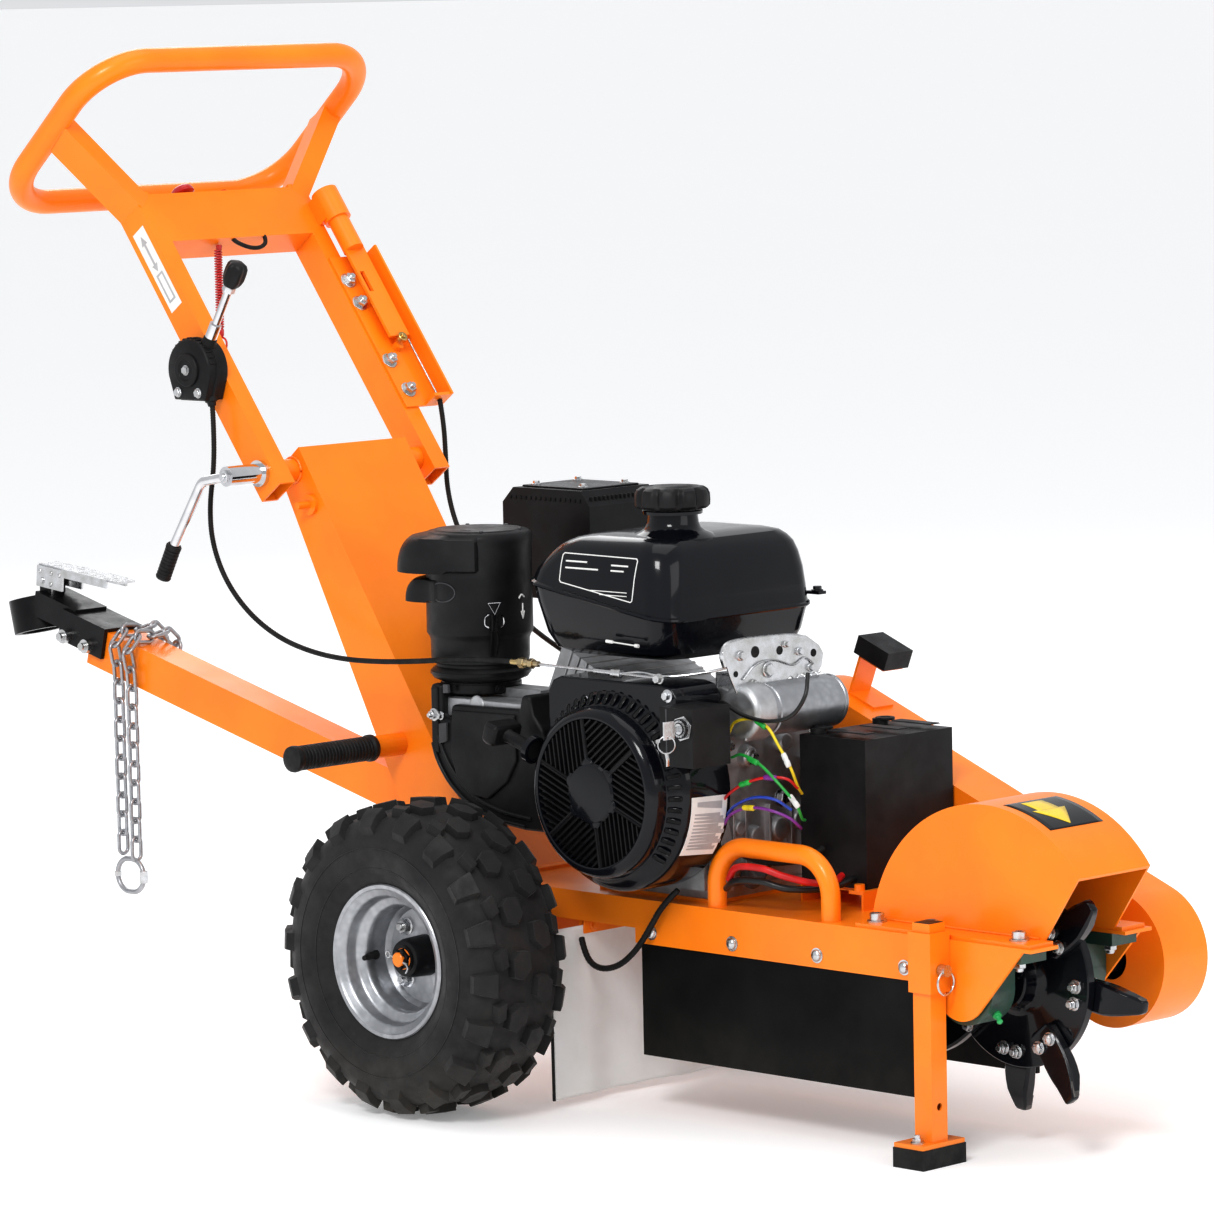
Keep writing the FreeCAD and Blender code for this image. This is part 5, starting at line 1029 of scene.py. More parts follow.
def engine_block():
    cover = Shape()
    # cast front of the crankcase, with ribs, bosses and bolts
    cover.outline([(-66, 276), (60, 276), (78, 300), (84, 380), (70, 440), (40, 458), (-40, 458), (-66, 430)],
        288, 299, "YZ")
    for y, z, w in ((-48, 330, 10), (-20, 318, 13), (20, 322, 16), (52, 330, 12), (-30, 410, 14),
            (30, 420, 12)):
        cover.lathe(P(297, y, z), AHEAD, [(0, 0), (0, w), (6, w * 0.92), (11, w * 0.8), (12, w * 0.7), (12, 0)],
            32)
    for y in (-56, -36, 4, 40, 66):
        cover.box((298, y - 2, 284), (306, y + 2, 352))
    cover.outline([(292, 262), (312, 262), (318, 290), (300, 372), (292, 372)], -84, -66)
    put(cover, "crankcase_cover", "cast_aluminium", bevel=2.5, segments=3)
    bolts = Shape()
    for y, z in ((-58, 286), (-62, 350), (-58, 424), (-30, 450), (34, 450), (70, 400), (76, 330), (54, 286),
            (0, 284)):
        bolts.bolts(AHEAD, (299, y, z, 5.5, 6, 8))
    bolts.bolts(AHEAD, (309, 18, 358, 8, 7, 11), (309, -30, 410, 6, 6, 9))
    put(bolts, "crankcase_bolts", "zinc")
    fins = Shape()
    heading = Vector((-0.906, 0, 0.423))
    rise = Vector((0.423, 0, 0.906))
    base = P(CRANK[0], 0, CRANK[1])
    for k in range(9):
        along = 0.090 + 0.0135 * k
        spot = base + heading * along
        ring = [spot + ACROSS * y + rise * up for y, up in ((-0.066, -0.0565), (0.080, -0.0565),
            (0.080, 0.0565), (-0.066, 0.0565))]
        wide = [c + (c - spot) * 0.06 for c in ring]
        fins.rings([[c - heading * 0.002 for c in wide], [c + heading * 0.002 for c in wide]])
    put(fins, "cylinder_fins", "cast_aluminium", bevel=1.0)
    oil = Shape()
    oil.lathe(P(312, -38, 272), Vector((0.75, -0.2, 0.5)), [(0, 0), (0, 13), (14, 13), (15, 11), (22, 11),
        (24, 9), (24, 0)], 32)
    put(oil, "oil_filler", "pale_grey_plastic")
    boot = Shape()
    boot.lathe(P(-40, -78, 452), (-1, 0, 0), [(0, 0), (0, 15), (3, 15), (4, 13), (22, 13), (22, 0)], 28)
    put(boot, "carburettor_flange", "cast_aluminium")


def muffler_cover():
    # painted shade: near-black bars where the cover's louvres open
    shape = Shape()
    for y in (44 + 7 * k for k in range(15)):
        shape.box((-21, y, 676), (-9.2, y + 3.2, 683))
    for x in (-138 + 8.2 * k for k in range(15)):
        shape.box((x, 33.8, 676), (x + 3.6, 44, 680.5))
    put(shape, "muffler_louvres", "painted_shade", bevel=0.6)
    lid = Shape()
    lid.outline([(-128, 46), (-26, 46), (-26, 140), (-128, 140)], 689.6, 692.2, "XY")
    put(lid, "muffler_lid", "satin_black", slot="black_paint", bevel=1.2)
    bolts = Shape()
    for x, y in ((-116, 58), (-38, 58), (-38, 128), (-116, 128)):
        bolts.bolt(P(x, y, 692), UP, 4, 3, 6)
    put(bolts, "muffler_bolts", "zinc")


# ------------------------------------------------------------------ cutter, deck and frame
GUARD = (679.87, 224.98, 164.91)          # the hood's centre (x, z) and its radius
SHAFT_X, SHAFT_Z = 680.0, 194.0
ARROW_Y = -7.0
SPINDLE = 12.5


def on_guard(angle, y, lift=0.0):
    turn = radians(angle)
    return P(GUARD[0] + (GUARD[2] + lift) * cos(turn), y, GUARD[1] + (GUARD[2] + lift) * sin(turn))


def guard_patch(name, outline, lift, material):
    """A thin film on the hood: the outline is (degrees, y), as rows of equal length."""
    rows = [[on_guard(angle, y, lift) for angle, y in row] for row in outline]
    count = len(rows[0])
    verts = [v for row in rows for v in row]
    faces = [(r * count + i, r * count + i + 1, (r + 1) * count + i + 1, (r + 1) * count + i)
        for r in range(len(rows) - 1) for i in range(count - 1)]
    obj = add_object(name, verts, faces, material, "chassis")
    thicken(obj, 0.25)


def guard_marks():
    """A plain dark panel with an arrow that shows which way the hood faces."""
    rows = [[(59.6 + 24.4 * k / 24, -46 + 88 * i / 12) for i in range(13)] for k in range(25)]
    guard_patch("hood_panel", rows, 0.25, "gloss_black")
    rows = [[(82.0 - 9.0 * k / 16, ARROW_Y + w) for w in (-17, -8, 0, 8, 17)] for k in range(17)]
    guard_patch("hood_arrow_tail", rows, 0.55, "yellow_print")
    rows = []
    for k in range(13):
        angle, half = 73.2 - 11.5 * k / 12, 26.0 * (1 - k / 12) + 0.6
        rows.append([(angle, ARROW_Y + half * u) for u in (-1, -0.5, 0, 0.5, 1)])
    guard_patch("hood_arrow_head", rows, 0.62, "yellow_print")


def around(angle, radius, sideways=0.0, y=0.0):
    """A place on the cutter: at an angle and radius, and sideways from that spoke."""
    return P(SHAFT_X + radius * cos(angle) - sideways * sin(angle), y,
        SHAFT_Z + radius * sin(angle) + sideways * cos(angle))


def cutter_wheel():
    """The disc, its turned hub, and claws with rounded ends held by domed bolts."""
    shape = Shape()
    centre = P(SHAFT_X, 0, SHAFT_Z)
    shape.lathe(centre, ACROSS, [(-30, 17.6), (-30, 29), (-28.5, 31.5), (-14, 33), (-12, 34), (-9, 38),
        (-6, 44), (-6, 98.6), (-4.6, 100), (4.6, 100), (6, 98.6), (6, 44), (9, 38), (12, 34), (14, 33),
        (28.5, 31.5), (30, 29), (30, 17.6)], 96, loop=True)
    for side in (-1, 1):
        for k in range(4):
            angle = radians(20 + 90 * k)
            shape.lathe(around(angle, 25, 0, side * 29.6), ACROSS * side, [(0, 0), (0, 4.4), (2.6, 4.4),
                (3.2, 3.4), (3.2, 0)], 16)
    put(shape, "cutting_disc", "gloss_black", "cutter", "black_steel", angle=30, replaces=["cutter_disc"])
    claws, edges, bolts = Shape(), Shape(), Shape()
    for k in range(8):
        angle, side = radians(-53.0 + 45.0 * k), 1 if k % 2 else -1
        face = 6.05
        # (radius, half width, near the disc, away from it, sideways shift)
        spans = [(64, 11, 0, 11.5, 0), (66, 15, 0, 12.6, 0), (70, 17, 0, 13, 0), (92, 17.6, 0, 14, 0),
            (104, 17.8, 0, 15, 0), (112, 17.6, 0, 16, 0), (122, 16.2, 0.6, 18, 0.3), (132, 14.0, 2, 19.6, 0.5),
            (141, 11.6, 6.5, 21.8, 0.4), (148, 9.6, 10.5, 23.6, 0.2), (152, 8.2, 12.8, 24.6, 0.0),
            (154.2, 6.6, 14.2, 24.8, 0.0), (155, 4.4, 15.6, 23.8, 0.0)]
        rings = []
        for radius, half, low, high, shift in spans:
            ring = []
            cut = min(half, (high - low) / 2) * 0.34
            for u, v in ((-half + cut, low), (half - cut, low), (half, low + cut), (half, high - cut),
                    (half - cut, high), (-half + cut, high), (-half, high - cut), (-half, low + cut)):
                ring.append(around(angle, radius, u + shift, side * (face + v)))
            rings.append(ring)
        claws.rings(rings)
        # the hard tip, brazed on the leading face
        edges.rings([[around(angle, r, u, side * (face + v)) for r, u, v in ((136, low, 7.5), (136, low, 20),
            (153, high, 23.5), (153, high, 15))] for low, high in ((8.8, 5.4), (12.8, 8.6))])
        for sideways in (-9.5, 9.5):
            out = ACROSS * side
            bolts.bolt(around(angle, 82, sideways, side * 20.2), out, 6.4, 4.4, 7.8, turn=k)
            bolts.lathe(around(angle, 82, sideways, side * 25.6), out, [(0, 0), (0, 5.2), (0.8, 4.4),
                (1.2, 2.6), (1.35, 0)], 16)
            bolts.bolt(around(angle, 82, sideways, side * -6.1), -out, 6.6, 5.0, 7.9, stud=4.0, turn=k + 0.5)
    put(claws, "cutter_claws", "gloss_black", "cutter", "black_steel", bevel=1.4, angle=38, segments=3,
        replaces=["cutter_teeth"])
    put(edges, "claw_tips", "worn_steel", "cutter", bevel=0.6, angle=30)
    put(bolts, "claw_bolts", "zinc", "cutter", angle=30, replaces=["tooth_bolts"])


def bearings():
    shape = Shape()
    for side in (-1, 1):
        out = ACROSS * side
        for along, lead in ((58, -out), (95, out)):
            shape.lathe(P(SHAFT_X, side * along, SHAFT_Z), lead, [(-0.6, 0), (-0.6, 33), (0.7, 32.4),
                (0.7, 22.6), (-0.4, 21.8), (-0.4, 0)], 56)
    put(shape, "bearing_seals", "black_iron", angle=30)
    nipple = Shape()
    lean = Vector((0.72, -0.35, -0.60)).normalized()
    at = P(SHAFT_X + 30, -77, SHAFT_Z - 27)
    nipple.prism(at, lean, 6, 5.4, 5.0, 0.2, 0.6)
    nipple.lathe(at + lean * 0.0048, lean, [(0, 0), (0, 3.5), (2, 3.5), (4.2, 2.4), (5.6, 2.4), (6.6, 3.3),
        (8.4, 3.3), (9.8, 1.8), (9.9, 0)], 20)
    put(nipple, "grease_nipple", "bright_green")


def deck_fixings():
    """Socket screws with washers on the hood's flanges, nuts below, and domed bolts along the side plates."""
    screws, nuts = Shape(), Shape()
    for side in (-1, 1):
        for x in (538, 617, 743):
            at = P(x, side * 76, 250.1)
            screws.lathe(at, UP, [(0, 0), (0, 11.0), (1.8, 11.0), (1.8, 0)], 28)
            screws.lathe(at + UP * 0.0017, UP, [(0, 0), (0, 7.6), (0.5, 8.1), (7.4, 8.1), (8.2, 7.5),
                (8.2, 4.7), (4.2, 4.7), (4.2, 0)], 28)
            top = 242 if x == 538 else 228
            nuts.bolt(P(x, side * 76, top - 0.1), -UP, 7.6, 6.5, 8.5, stud=4.9)
        for x in (216, 342, 471, 600):
            at = P(x, side * 101.1, 209)
            out = ACROSS * side
            nuts.lathe(at, out, [(0, 0), (0, 8.6), (1.0, 8.6), (1.0, 0)], 24)
            nuts.lathe(at + out * 0.0009, out, [(0, 0), (0, 6.8), (1.8, 6.6), (3.6, 5.4), (4.6, 3.4), (5.0, 0)],
                24)
            nuts.bolt(P(x, side * 91.8, 209), -out, 6.4, 5.0, 7.8, stud=3.9)
    put(screws, "hood_screws", "zinc", angle=30, replaces=["deck_bolts"])
    put(nuts, "deck_nuts", "zinc", angle=30)


def weld_bead(shape, points, radius=2.6, pitch=2.4):
    """A run of overlapping ripples along a line of points in metres."""
    path = smooth_path(points, 10)
    made = [path[0]]
    for here in path[1:]:
        if (here - made[-1]).length > pitch / 1000:
            made.append(here)
    swell = []
    for k, here in enumerate(made[:-1]):
        swell.append((here, radius * (0.86 + 0.14 * sin(k * 2.1))))
        swell.append((here.lerp(made[k + 1], 0.5), radius * 1.04))
    rings, side = [], None
    for k, (here, r) in enumerate(swell):
        ahead = swell[min(k + 1, len(swell) - 1)][0] - swell[max(k - 1, 0)][0]
        side, rise = carried(ahead, side)
        rings.append(circle(here, side, rise, r, 8))
    shape.rings(rings)


def welds():
    shape = Shape()
    for side in (-1, 1):
        y = side * 88.6
        # the column on the deck, and the deck's flanges
        weld_bead(shape, [P(x, y, 247) for x in (-164, -120, -80, -52)])
        weld_bead(shape, [P(x, side * 60.8, 251) for x in (524, 600, 700, 762)], 1.7)
        # pivot bosses
        weld_bead(shape, [P(-382 + 15 * cos(a), side * 89, 708 + 15 * sin(a)) for a in (2 * pi * i / 12
            for i in range(13))], 2.2)
    weld_bead(shape, [P(-232, -26, 306), P(-232, 0, 306), P(-232, 26, 306)])
    weld_bead(shape, [P(x, -104, 257) for x in (656, 650, 643)], 1.8)
    put(shape, "weld_beads", "weld", angle=80)


def battery():
    shape = Shape()
    for x, y in ((373, 21), (376, 122)):
        at = P(x, y, 441)
        shape.lathe(at, UP, [(0, 0), (0, 10.6), (1.0, 11.2), (3.0, 11.2), (3.6, 10.4), (3.6, 6.4), (2.8, 6.0),
            (2.8, 0)], 28)
    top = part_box("battery_box")[1][2] * 1000
    for y in (14, 68, 122):
        shape.box((392, y - 9, top - 1.6), (452, y + 9, top - 0.2), taper=1.4)
    put(shape, "battery_caps", "black_plastic", bevel=0.4, angle=30)


def cables():
    """Plain wires with their crimped ends and coloured sleeves, and the leads behind the lift handle."""
    runs = (("yellow", "wire_yellow", 1.7, ((338, -96, 446), (355, -104, 460), (383, -107, 466),
        (408, -108, 459), (423, -107, 440), (436, -102, 416), (430, -84, 392), (414, -60, 380))),
        ("green", "wire_green", 1.7, ((338, -92, 418), (364, -103, 424), (396, -108, 416), (424, -107, 396),
        (440, -98, 374), (432, -80, 356), (416, -58, 350))), ("red", "wire_red", 1.7, ((322, -96, 362),
        (343, -104, 378), (372, -108, 393), (403, -108, 402), (428, -100, 402), (430, -84, 390))),
        ("purple", "wire_purple", 1.7, ((325, -94, 340), (346, -103, 356), (376, -107, 366), (404, -105, 366),
        (424, -94, 358), (426, -78, 346), (410, -58, 340))), ("blue", "wire_blue", 1.7, ((330, -94, 352),
        (352, -103, 366), (384, -106, 378), (412, -103, 378), (428, -92, 366))), ("black", "wire_black", 2.4,
        ((322, -94, 478), (340, -104, 480), (372, -109, 470), (412, -111, 466), (444, -108, 474),
        (458, -100, 496), (452, -88, 520))), ("battery_red", "wire_red", 4.0, ((330, -92, 280),
        (351, -101, 296), (386, -99, 298), (410, -88, 290), (432, -66, 282), (440, -40, 280), (432, -16, 284))),
        ("battery_black", "wire_black", 4.0, ((322, -88, 268), (346, -97, 280), (382, -95, 282),
        (408, -82, 275), (428, -56, 273), (436, -32, 274), (438, -10, 278), (436, 8, 280))),)
    for name, material, radius, points in runs:
        shape = Shape()
        shape.sweep(smooth_path([P(*p) for p in points], 8), radius, 12)
        put(shape, "wire_" + name + "_run", material, slot="black_rubber", angle=50)
    # crimped joints: (place, direction, material, length, radius)
    for name, at, along, material in (("a", (398, -108.3, 462), (0.9, 0, -0.4), "wire_green"),
            ("b", (432, -104.5, 424), (0.45, 0.1, -0.9), "wire_white"), ("c", (384, -107, 419.5),
            (0.95, -0.1, -0.25), "wire_green"), ("d", (438, -99.5, 378), (0.5, 0.3, -0.8), "wire_white"),
            ("e", (372, -108, 393), (0.95, 0, 0.3), "wire_green"), ("f", (410, -107, 402.5), (1, 0.15, 0),
            "wire_purple"), ("g", (376, -107, 366), (1, 0, 0.05), "wire_yellow")):
        joint = Shape()
        joint.lathe(P(*at) - Vector(along).normalized() * 0.008, along, [(0, 0), (0, 2.3), (1.2, 3.1), (6, 3.3),
            (9, 2.9), (10, 3.4), (16, 3.2), (17, 2.4), (17, 0)], 16)
        put(joint, "wire_joint_" + name, material, slot="black_rubber", angle=40)


def leg_and_axle():
    cap = Shape()
    # the dark cap on the stand's leg
    cap.outline([(637.6, -129.7), (662.4, -129.7), (662.4, -104.9), (637.6, -104.9)], 260.5, 266.6, "XY")
    put(cap, "leg_cap", "black_plastic", "stand", bevel=2.4, angle=30, segments=4)
    axle = Shape()
    axle.box((-20, -172, 161), (20, 172, 201))
    for side in (-1, 1):
        axle.lathe(P(0, side * 170, 181), ACROSS * side, [(0, 0), (0, SPINDLE), (116, SPINDLE),
            (117, SPINDLE - 1), (117, 0)], 40)
        low, high = sorted((side * 70, side * 96.5))
        axle.box((-30, low, 195), (30, high, 241.95))
    put(axle, "axle_tube", "orange", bevel=2.0, angle=30, segments=3, replaces=["axle_beam"])


def side_handle():
    """A moulded grip with raised rings and a domed end."""
    shape = Shape()
    base = P(-207, -133.4, 391)
    profile = [(0, 12.2), (0, 15.2), (1.2, 16), (6, 16), (7.4, 14.8)]
    at = 9.0
    while at < 116:
        profile += [(at, 13.6), (at + 0.8, 14.6), (at + 3.2, 14.6), (at + 4.0, 13.6)]
        at += 5.2
    profile += [(119, 15.2), (124, 15.8), (127.4, 15.0), (129.1, 12.4), (129.4, 8), (129.4, 0.0), (125.2, 0.0),
        (125.0, 12.2)]
    shape.lathe(base, -ACROSS, profile, 40, loop=True)
    put(shape, "side_grip_ribbed", "grip", angle=40, replaces=["side_grip"])


def curtain():
    """A woven curtain behind the cutter, held at its top edge by a strip and gathered by its own folds."""
    columns, rows = 61, 41
    verts = []
    for r in range(rows):
        v = r / (rows - 1)
        for c in range(columns):
            u = c / (columns - 1)
            y = -150 + 300 * u
            fold = (sin(2 * pi * (1.7 * u + 0.10)) * 5.2 + sin(2 * pi * (4.1 * u + 0.4)) * 1.5) * v
            sag = 2.0 * sin(pi * v) * sin(2 * pi * u * 2.3)
            x = 101.4 + fold + sag - 2.0 * v
            z = 205.8 - 197.0 * v + 1.0 * v * sin(2 * pi * (2.1 * u))
            verts.append(P(x, y + 0.6 * v * sin(7 * u), z))
    faces = [(r * columns + c, r * columns + c + 1, (r + 1) * columns + c + 1, (r + 1) * columns + c)
        for r in range(rows - 1) for c in range(columns - 1)]
    cloth = add_object("curtain_cloth", verts, faces, "cloth", "chassis")
    thicken(cloth, 0.8)
    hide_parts("chip_curtain")
    edge = Shape()
    edge.sweep([v - ACROSS * 0.0006 for v in verts[::columns]], 1.9, 10)
    edge.sweep(verts[columns - 1::columns], 1.9, 10)
    hem = put(edge, "curtain_edging", "rubber", angle=60)
    strip = Shape()
    strip.box((102.2, -97, 196), (104.4, 97, 214))
    for y in (-82, -28, 28, 82):
        strip.bolt(P(104.4, y, 205), AHEAD, 5.4, 4.0, 7.0)
    put(strip, "curtain_strip", "orange", bevel=0.5)


def stand():
    shape = Shape()
    shape.bolt(P(650, -140, 27.0), UP, 5.6, 4.0, 7.6, stud=3.4)
    put(shape, "foot_bolt", "zinc", "stand", angle=30)


# ------------------------------------------------------------------ handle, controls and coupling
PIVOT_X, PIVOT_Z = -382.0, 708.0
LEAN, FRONT = Vector((-0.595, 0, 0.8037)), Vector((0.8037, 0, 0.595))


def on_arm(along, forward, y=0.0):
    """A place on the handle: up its arms, out from their middle line, and across."""
    return P(PIVOT_X, y, PIVOT_Z) + (LEAN * along + FRONT * forward) / 1000


def arm_box(shape, low, high):
    """A box whose sides follow the handle: (along, forward, y) corners."""
    (a0, f0, y0), (a1, f1, y1) = low, high
    shape.box((a0, y0, f0), (a1, y1, f1), place=lambda along, y, forward: on_arm(along, forward, y))


def nurbs(name, route, resolution):
    """A curve whose smooth line has the route as its control points."""
    curve = bpy.data.curves.new(name, "CURVE")
    curve.dimensions = "3D"
    line = curve.splines.new("NURBS")
    line.points.add(len(route) - 1)
    for point, place in zip(line.points, route):
        point.co = (*place, 1)
    line.order_u = 3
    line.use_endpoint_u = True
    line.resolution_u = resolution
    return curve


def route_line(name, route):
    """Points read from the smooth line that a route's control points give."""
    holder = bpy.data.objects.new(name, nurbs(name, route, 12))
    path = [v.co.copy() for v in bpy.data.meshes.new_from_object(holder).vertices]
    bpy.data.objects.remove(holder)
    return path


def path_length(path):
    return sum((b - a).length for a, b in zip(path, path[1:]))


def walk(path, count):
    """Evenly spaced places along a line of points, each with the index of the point that comes next."""
    lengths = [0.0]
    for a, b in zip(path, path[1:]):
        lengths.append(lengths[-1] + (b - a).length)
    k = 1
    for step in range(count + 1):
        distance = lengths[-1] * step / count
        while k < len(path) - 1 and lengths[k] < distance:
            k += 1
        yield path[k - 1].lerp(path[k], (distance - lengths[k - 1]) / (lengths[k] - lengths[k - 1])), k


# the stop lanyard: its length and its wire's radius in metres, its turns, and points and radius for each turn
LANYARD_LENGTH, WIRE_RADIUS, TURNS, PER_TURN, COIL_RADIUS = 0.81, 0.00115, 32, 14, 0.0042


def lanyard():
    """A curly safety cord that hangs from its switch; its helix is wound round the route that it follows."""
    top = on_arm(323, 8, -34)
    path = route_line("lanyard_route", [top + UP * drop / 1000 for drop in (-3.6, -12, -24, -40, -58, -76, -92,
        -104)])
    count = TURNS * PER_TURN
    helix = []
    for step, (centre, k) in enumerate(walk(path, count)):
        along = (path[k] - path[k - 1]).normalized()
        side = (AHEAD - along * along.x).normalized()
        rise = along.cross(side)
        ease = max(0.45, min(1.0, step / PER_TURN, (count - step) / PER_TURN))
        angle = 2 * pi * step / PER_TURN
        helix.append(centre + (side * cos(angle) + rise * sin(angle)) * COIL_RADIUS * ease)
    curve = nurbs("lanyard_cord", helix, 3)
    curve.bevel_depth = WIRE_RADIUS
    curve.bevel_resolution = 3
    curve.use_fill_caps = True
    curve.materials.append(MAT["red"])
    cord = bpy.data.objects.new("lanyard_cord", curve)
    bpy.context.collection.objects.link(cord)
    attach(cord, "handle")
    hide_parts("stop_lanyard")
    clip = Shape()
    end = helix[-1]
    # a moulded end and the wrist loop
    clip.lathe(end + Vector((0, 0, 0.002)), -UP, [(0, 0), (0, 2.2), (2, 3.4), (9, 3.4), (11, 2.2), (11, 0)], 20)
    loop = [end + Vector((0.0085 * sin(a), 0.002 * sin(2 * a), -0.0095 - 0.0125 * (1 - cos(a))))
        for a in steps_round(28)]
    clip.sweep(loop, 1.3, 8, closed=True)
    tie = put(clip, "lanyard_clip", "red", "handle", angle=40)
    cap = Shape()
    cap.lathe(helix[0] + Vector((0, 0, 0.0034)), -UP, [(0, 0), (0, 3.0), (1.5, 4.0), (5.5, 3.2), (6.5, 1.8),
        (6.5, 0)], 20)
    head = put(cap, "lanyard_head", "red", "handle", angle=40)
    tuple(helix[0])


def switches():
    """A mushroom stop button and its nut on the cross plate."""
    button = Shape()
    at = on_arm(376, 0, -40)
    button.lathe(at, LEAN, [(0, 0), (0, 6.2), (24, 6.2), (25, 9.0), (26.5, 13.2), (28.2, 14.9), (31, 15.0),
        (34.2, 14.0), (36.6, 11.4), (37.7, 7.0), (38, 0)], 48)
    put(button, "stop_button_mushroom", "red", "stop_button", angle=34, replaces=["stop_button"])
    collar = Shape()
    collar.prism(on_arm(394.3, 0, -40), LEAN, 6, 11.0, 4.0, 0.2, 0.8)
    put(collar, "button_nut", "black_plastic", "handle", angle=30)


def sticker():
    """A blank white label with a plain up-and-down arrow, on the near arm's outer face."""
    label = Shape()
    arm_box(label, (241, -11.5, -140.35), (355, 11.5, -140.06))
    put(label, "arm_label", "white_label", "handle", "orange_paint")
    mark = Shape()
    for low, high in (((252, -6.5, -140.62), (292, -4.0, -140.3)), ((252, 4.0, -140.62), (292, 6.5, -140.3)),
            ((252, -4.0, -140.62), (254.5, 4.0, -140.3)), ((289.5, -4.0, -140.62), (292, 4.0, -140.3)),
            ((305, -1.6, -140.62), (334, 1.6, -140.3))):
        arm_box(mark, low, high)
    for tip, foot in ((346, 334), (295, 305)):
        points = [on_arm(tip, 0, -140.5), on_arm(foot, -5.4, -140.5), on_arm(foot, 5.4, -140.5)]
        mark.rings([[p + Vector((0, -0.0001, 0)) for p in points], [p + Vector((0, 0.0002, 0))
            for p in points]])
    put(mark, "arm_label_print", "grey_print", "handle", "orange_paint")


def throttle():
    """The lever's housing, its ribbed edge and screws, the boot, a nut on the chromed rod and a five-lobed knob."""
    case = Shape()
    hub_x, hub_z, hub_radius = -473.0, 830.0, 37.5

    def outline(grow):
        arch = [(hub_x + (hub_radius + grow) * cos(radians(a)), hub_z + (hub_radius + grow) * sin(radians(a)))
            for a in range(-12, 193, 6)]
        foot = hub_z - 36 - grow
        return [(hub_x + 27 + grow, foot)] + arch + [(hub_x - 27 - grow, foot)]

    case.rings([[P(x, y, z) for x, z in outline(grow)] for y, grow in ((-140.4, -0.6), (-141, 0), (-153.6, 0),
        (-154.2, 1.6), (-158.4, 1.6), (-159, 0), (-168.6, 0), (-170.4, -1.2), (-171.6, -3.4))])
    # a raised rim, a round boss over the lever's hub, and the socket for the cable
    case.lathe(P(hub_x, -171.4, hub_z), -ACROSS, [(0, 0), (0, 20.4), (3.2, 20), (4.4, 18.8), (4.4, 13),
        (3.2, 12), (3.2, 0)], 44)
    case.lathe(P(-450.5, -156, 798), Vector((0.22, 0, -1)), [(0, 0), (0, 8.2), (6, 7.6), (7, 5.6), (11.5, 4.8),
        (11.5, 0)], 24)
    for k in range(14):
        rib = spoke(radians(14 + 152 * k / 13))
        case.lathe(P(hub_x, -160.5, hub_z) + rib * 0.0377, -ACROSS, [(0, 0), (0, 1.7), (7.0, 1.6), (7.6, 0.9),
            (7.6, 0)], 8)
    put(case, "throttle_case", "black_plastic", "handle", bevel=0.8, angle=40, segments=3,
        replaces=["throttle_housing"])
    lever = Vector((0.51, 0, 0.86)).normalized()
    base = on_arm(150, 0, -156)
    screws = Shape()
    for x, z, y in ((-473, 830, -174.4), (-491, 803, -171.5), (-455, 803, -171.5)):
        at = P(x, y, z)
        screws.lathe(at, -ACROSS, [(0, 0), (0, 6.2), (0.9, 6.2), (0.9, 0)], 20)
        screws.prism(at - ACROSS * 0.0006, -ACROSS, 6, 5.0, 3.4, z, 0.5)
    put(screws, "throttle_screws", "zinc", "handle", angle=30)
    boot = Shape()
    boot.lathe(base + lever * 0.030, lever, [(0, 0), (0, 10.4), (6, 10.4), (8, 9.4), (11, 9.6), (13, 8.3),
        (16, 8.5), (18, 7.2), (21, 7.4), (23, 6.2), (34, 5.6), (34, 0)], 28)
    put(boot, "lever_boot", "rubber", "throttle_lever", angle=50)
    nut = Shape()
    nut.prism(base + lever * 0.112, lever, 6, 8.0, 7.0, 0.2, 0.9)
    nut.lathe(base + lever * 0.1185, lever, [(0, 0), (0, 7.4), (1.4, 7.4), (1.4, 0)], 24)
    put(nut, "lever_nut", "zinc", "throttle_lever", angle=30)
    knob = Shape()
    side, rise = frame_of(lever)
    rings = []
    for along, radius, lobe in ((120, 0.4, 0), (120, 8.5, 0.2), (122, 10.2, 0.5), (126, 11.6, 1.2),
            (131, 12.4, 1.6), (140, 12.4, 1.6), (146, 11.8, 1.5), (150, 10.0, 0.9), (151.6, 7.4, 0.3),
            (152, 0.4, 0)):
        centre = base + lever * along / 1000
        rings.append([centre + (side * cos(a) + rise * sin(a)) * (radius + lobe * cos(5 * a)) / 1000
            for a in steps_round(60)])
    knob.rings(rings)
    put(knob, "lever_knob", "black_plastic", "throttle_lever", angle=40, replaces=["throttle_knob"])


def control_loop():
    """The black switch cable that loops below the cross plate."""
    shape = Shape()
    points = [on_arm(330, 14, -14), on_arm(318, 18, -12), on_arm(308, 21, 0), on_arm(306, 22, 14),
        on_arm(312, 21, 28), on_arm(324, 18, 36), on_arm(334, 14, 36)]
    shape.sweep(smooth_path(points, 8), 2.6, 12)
    put(shape, "switch_cable", "rubber", "handle", angle=60)


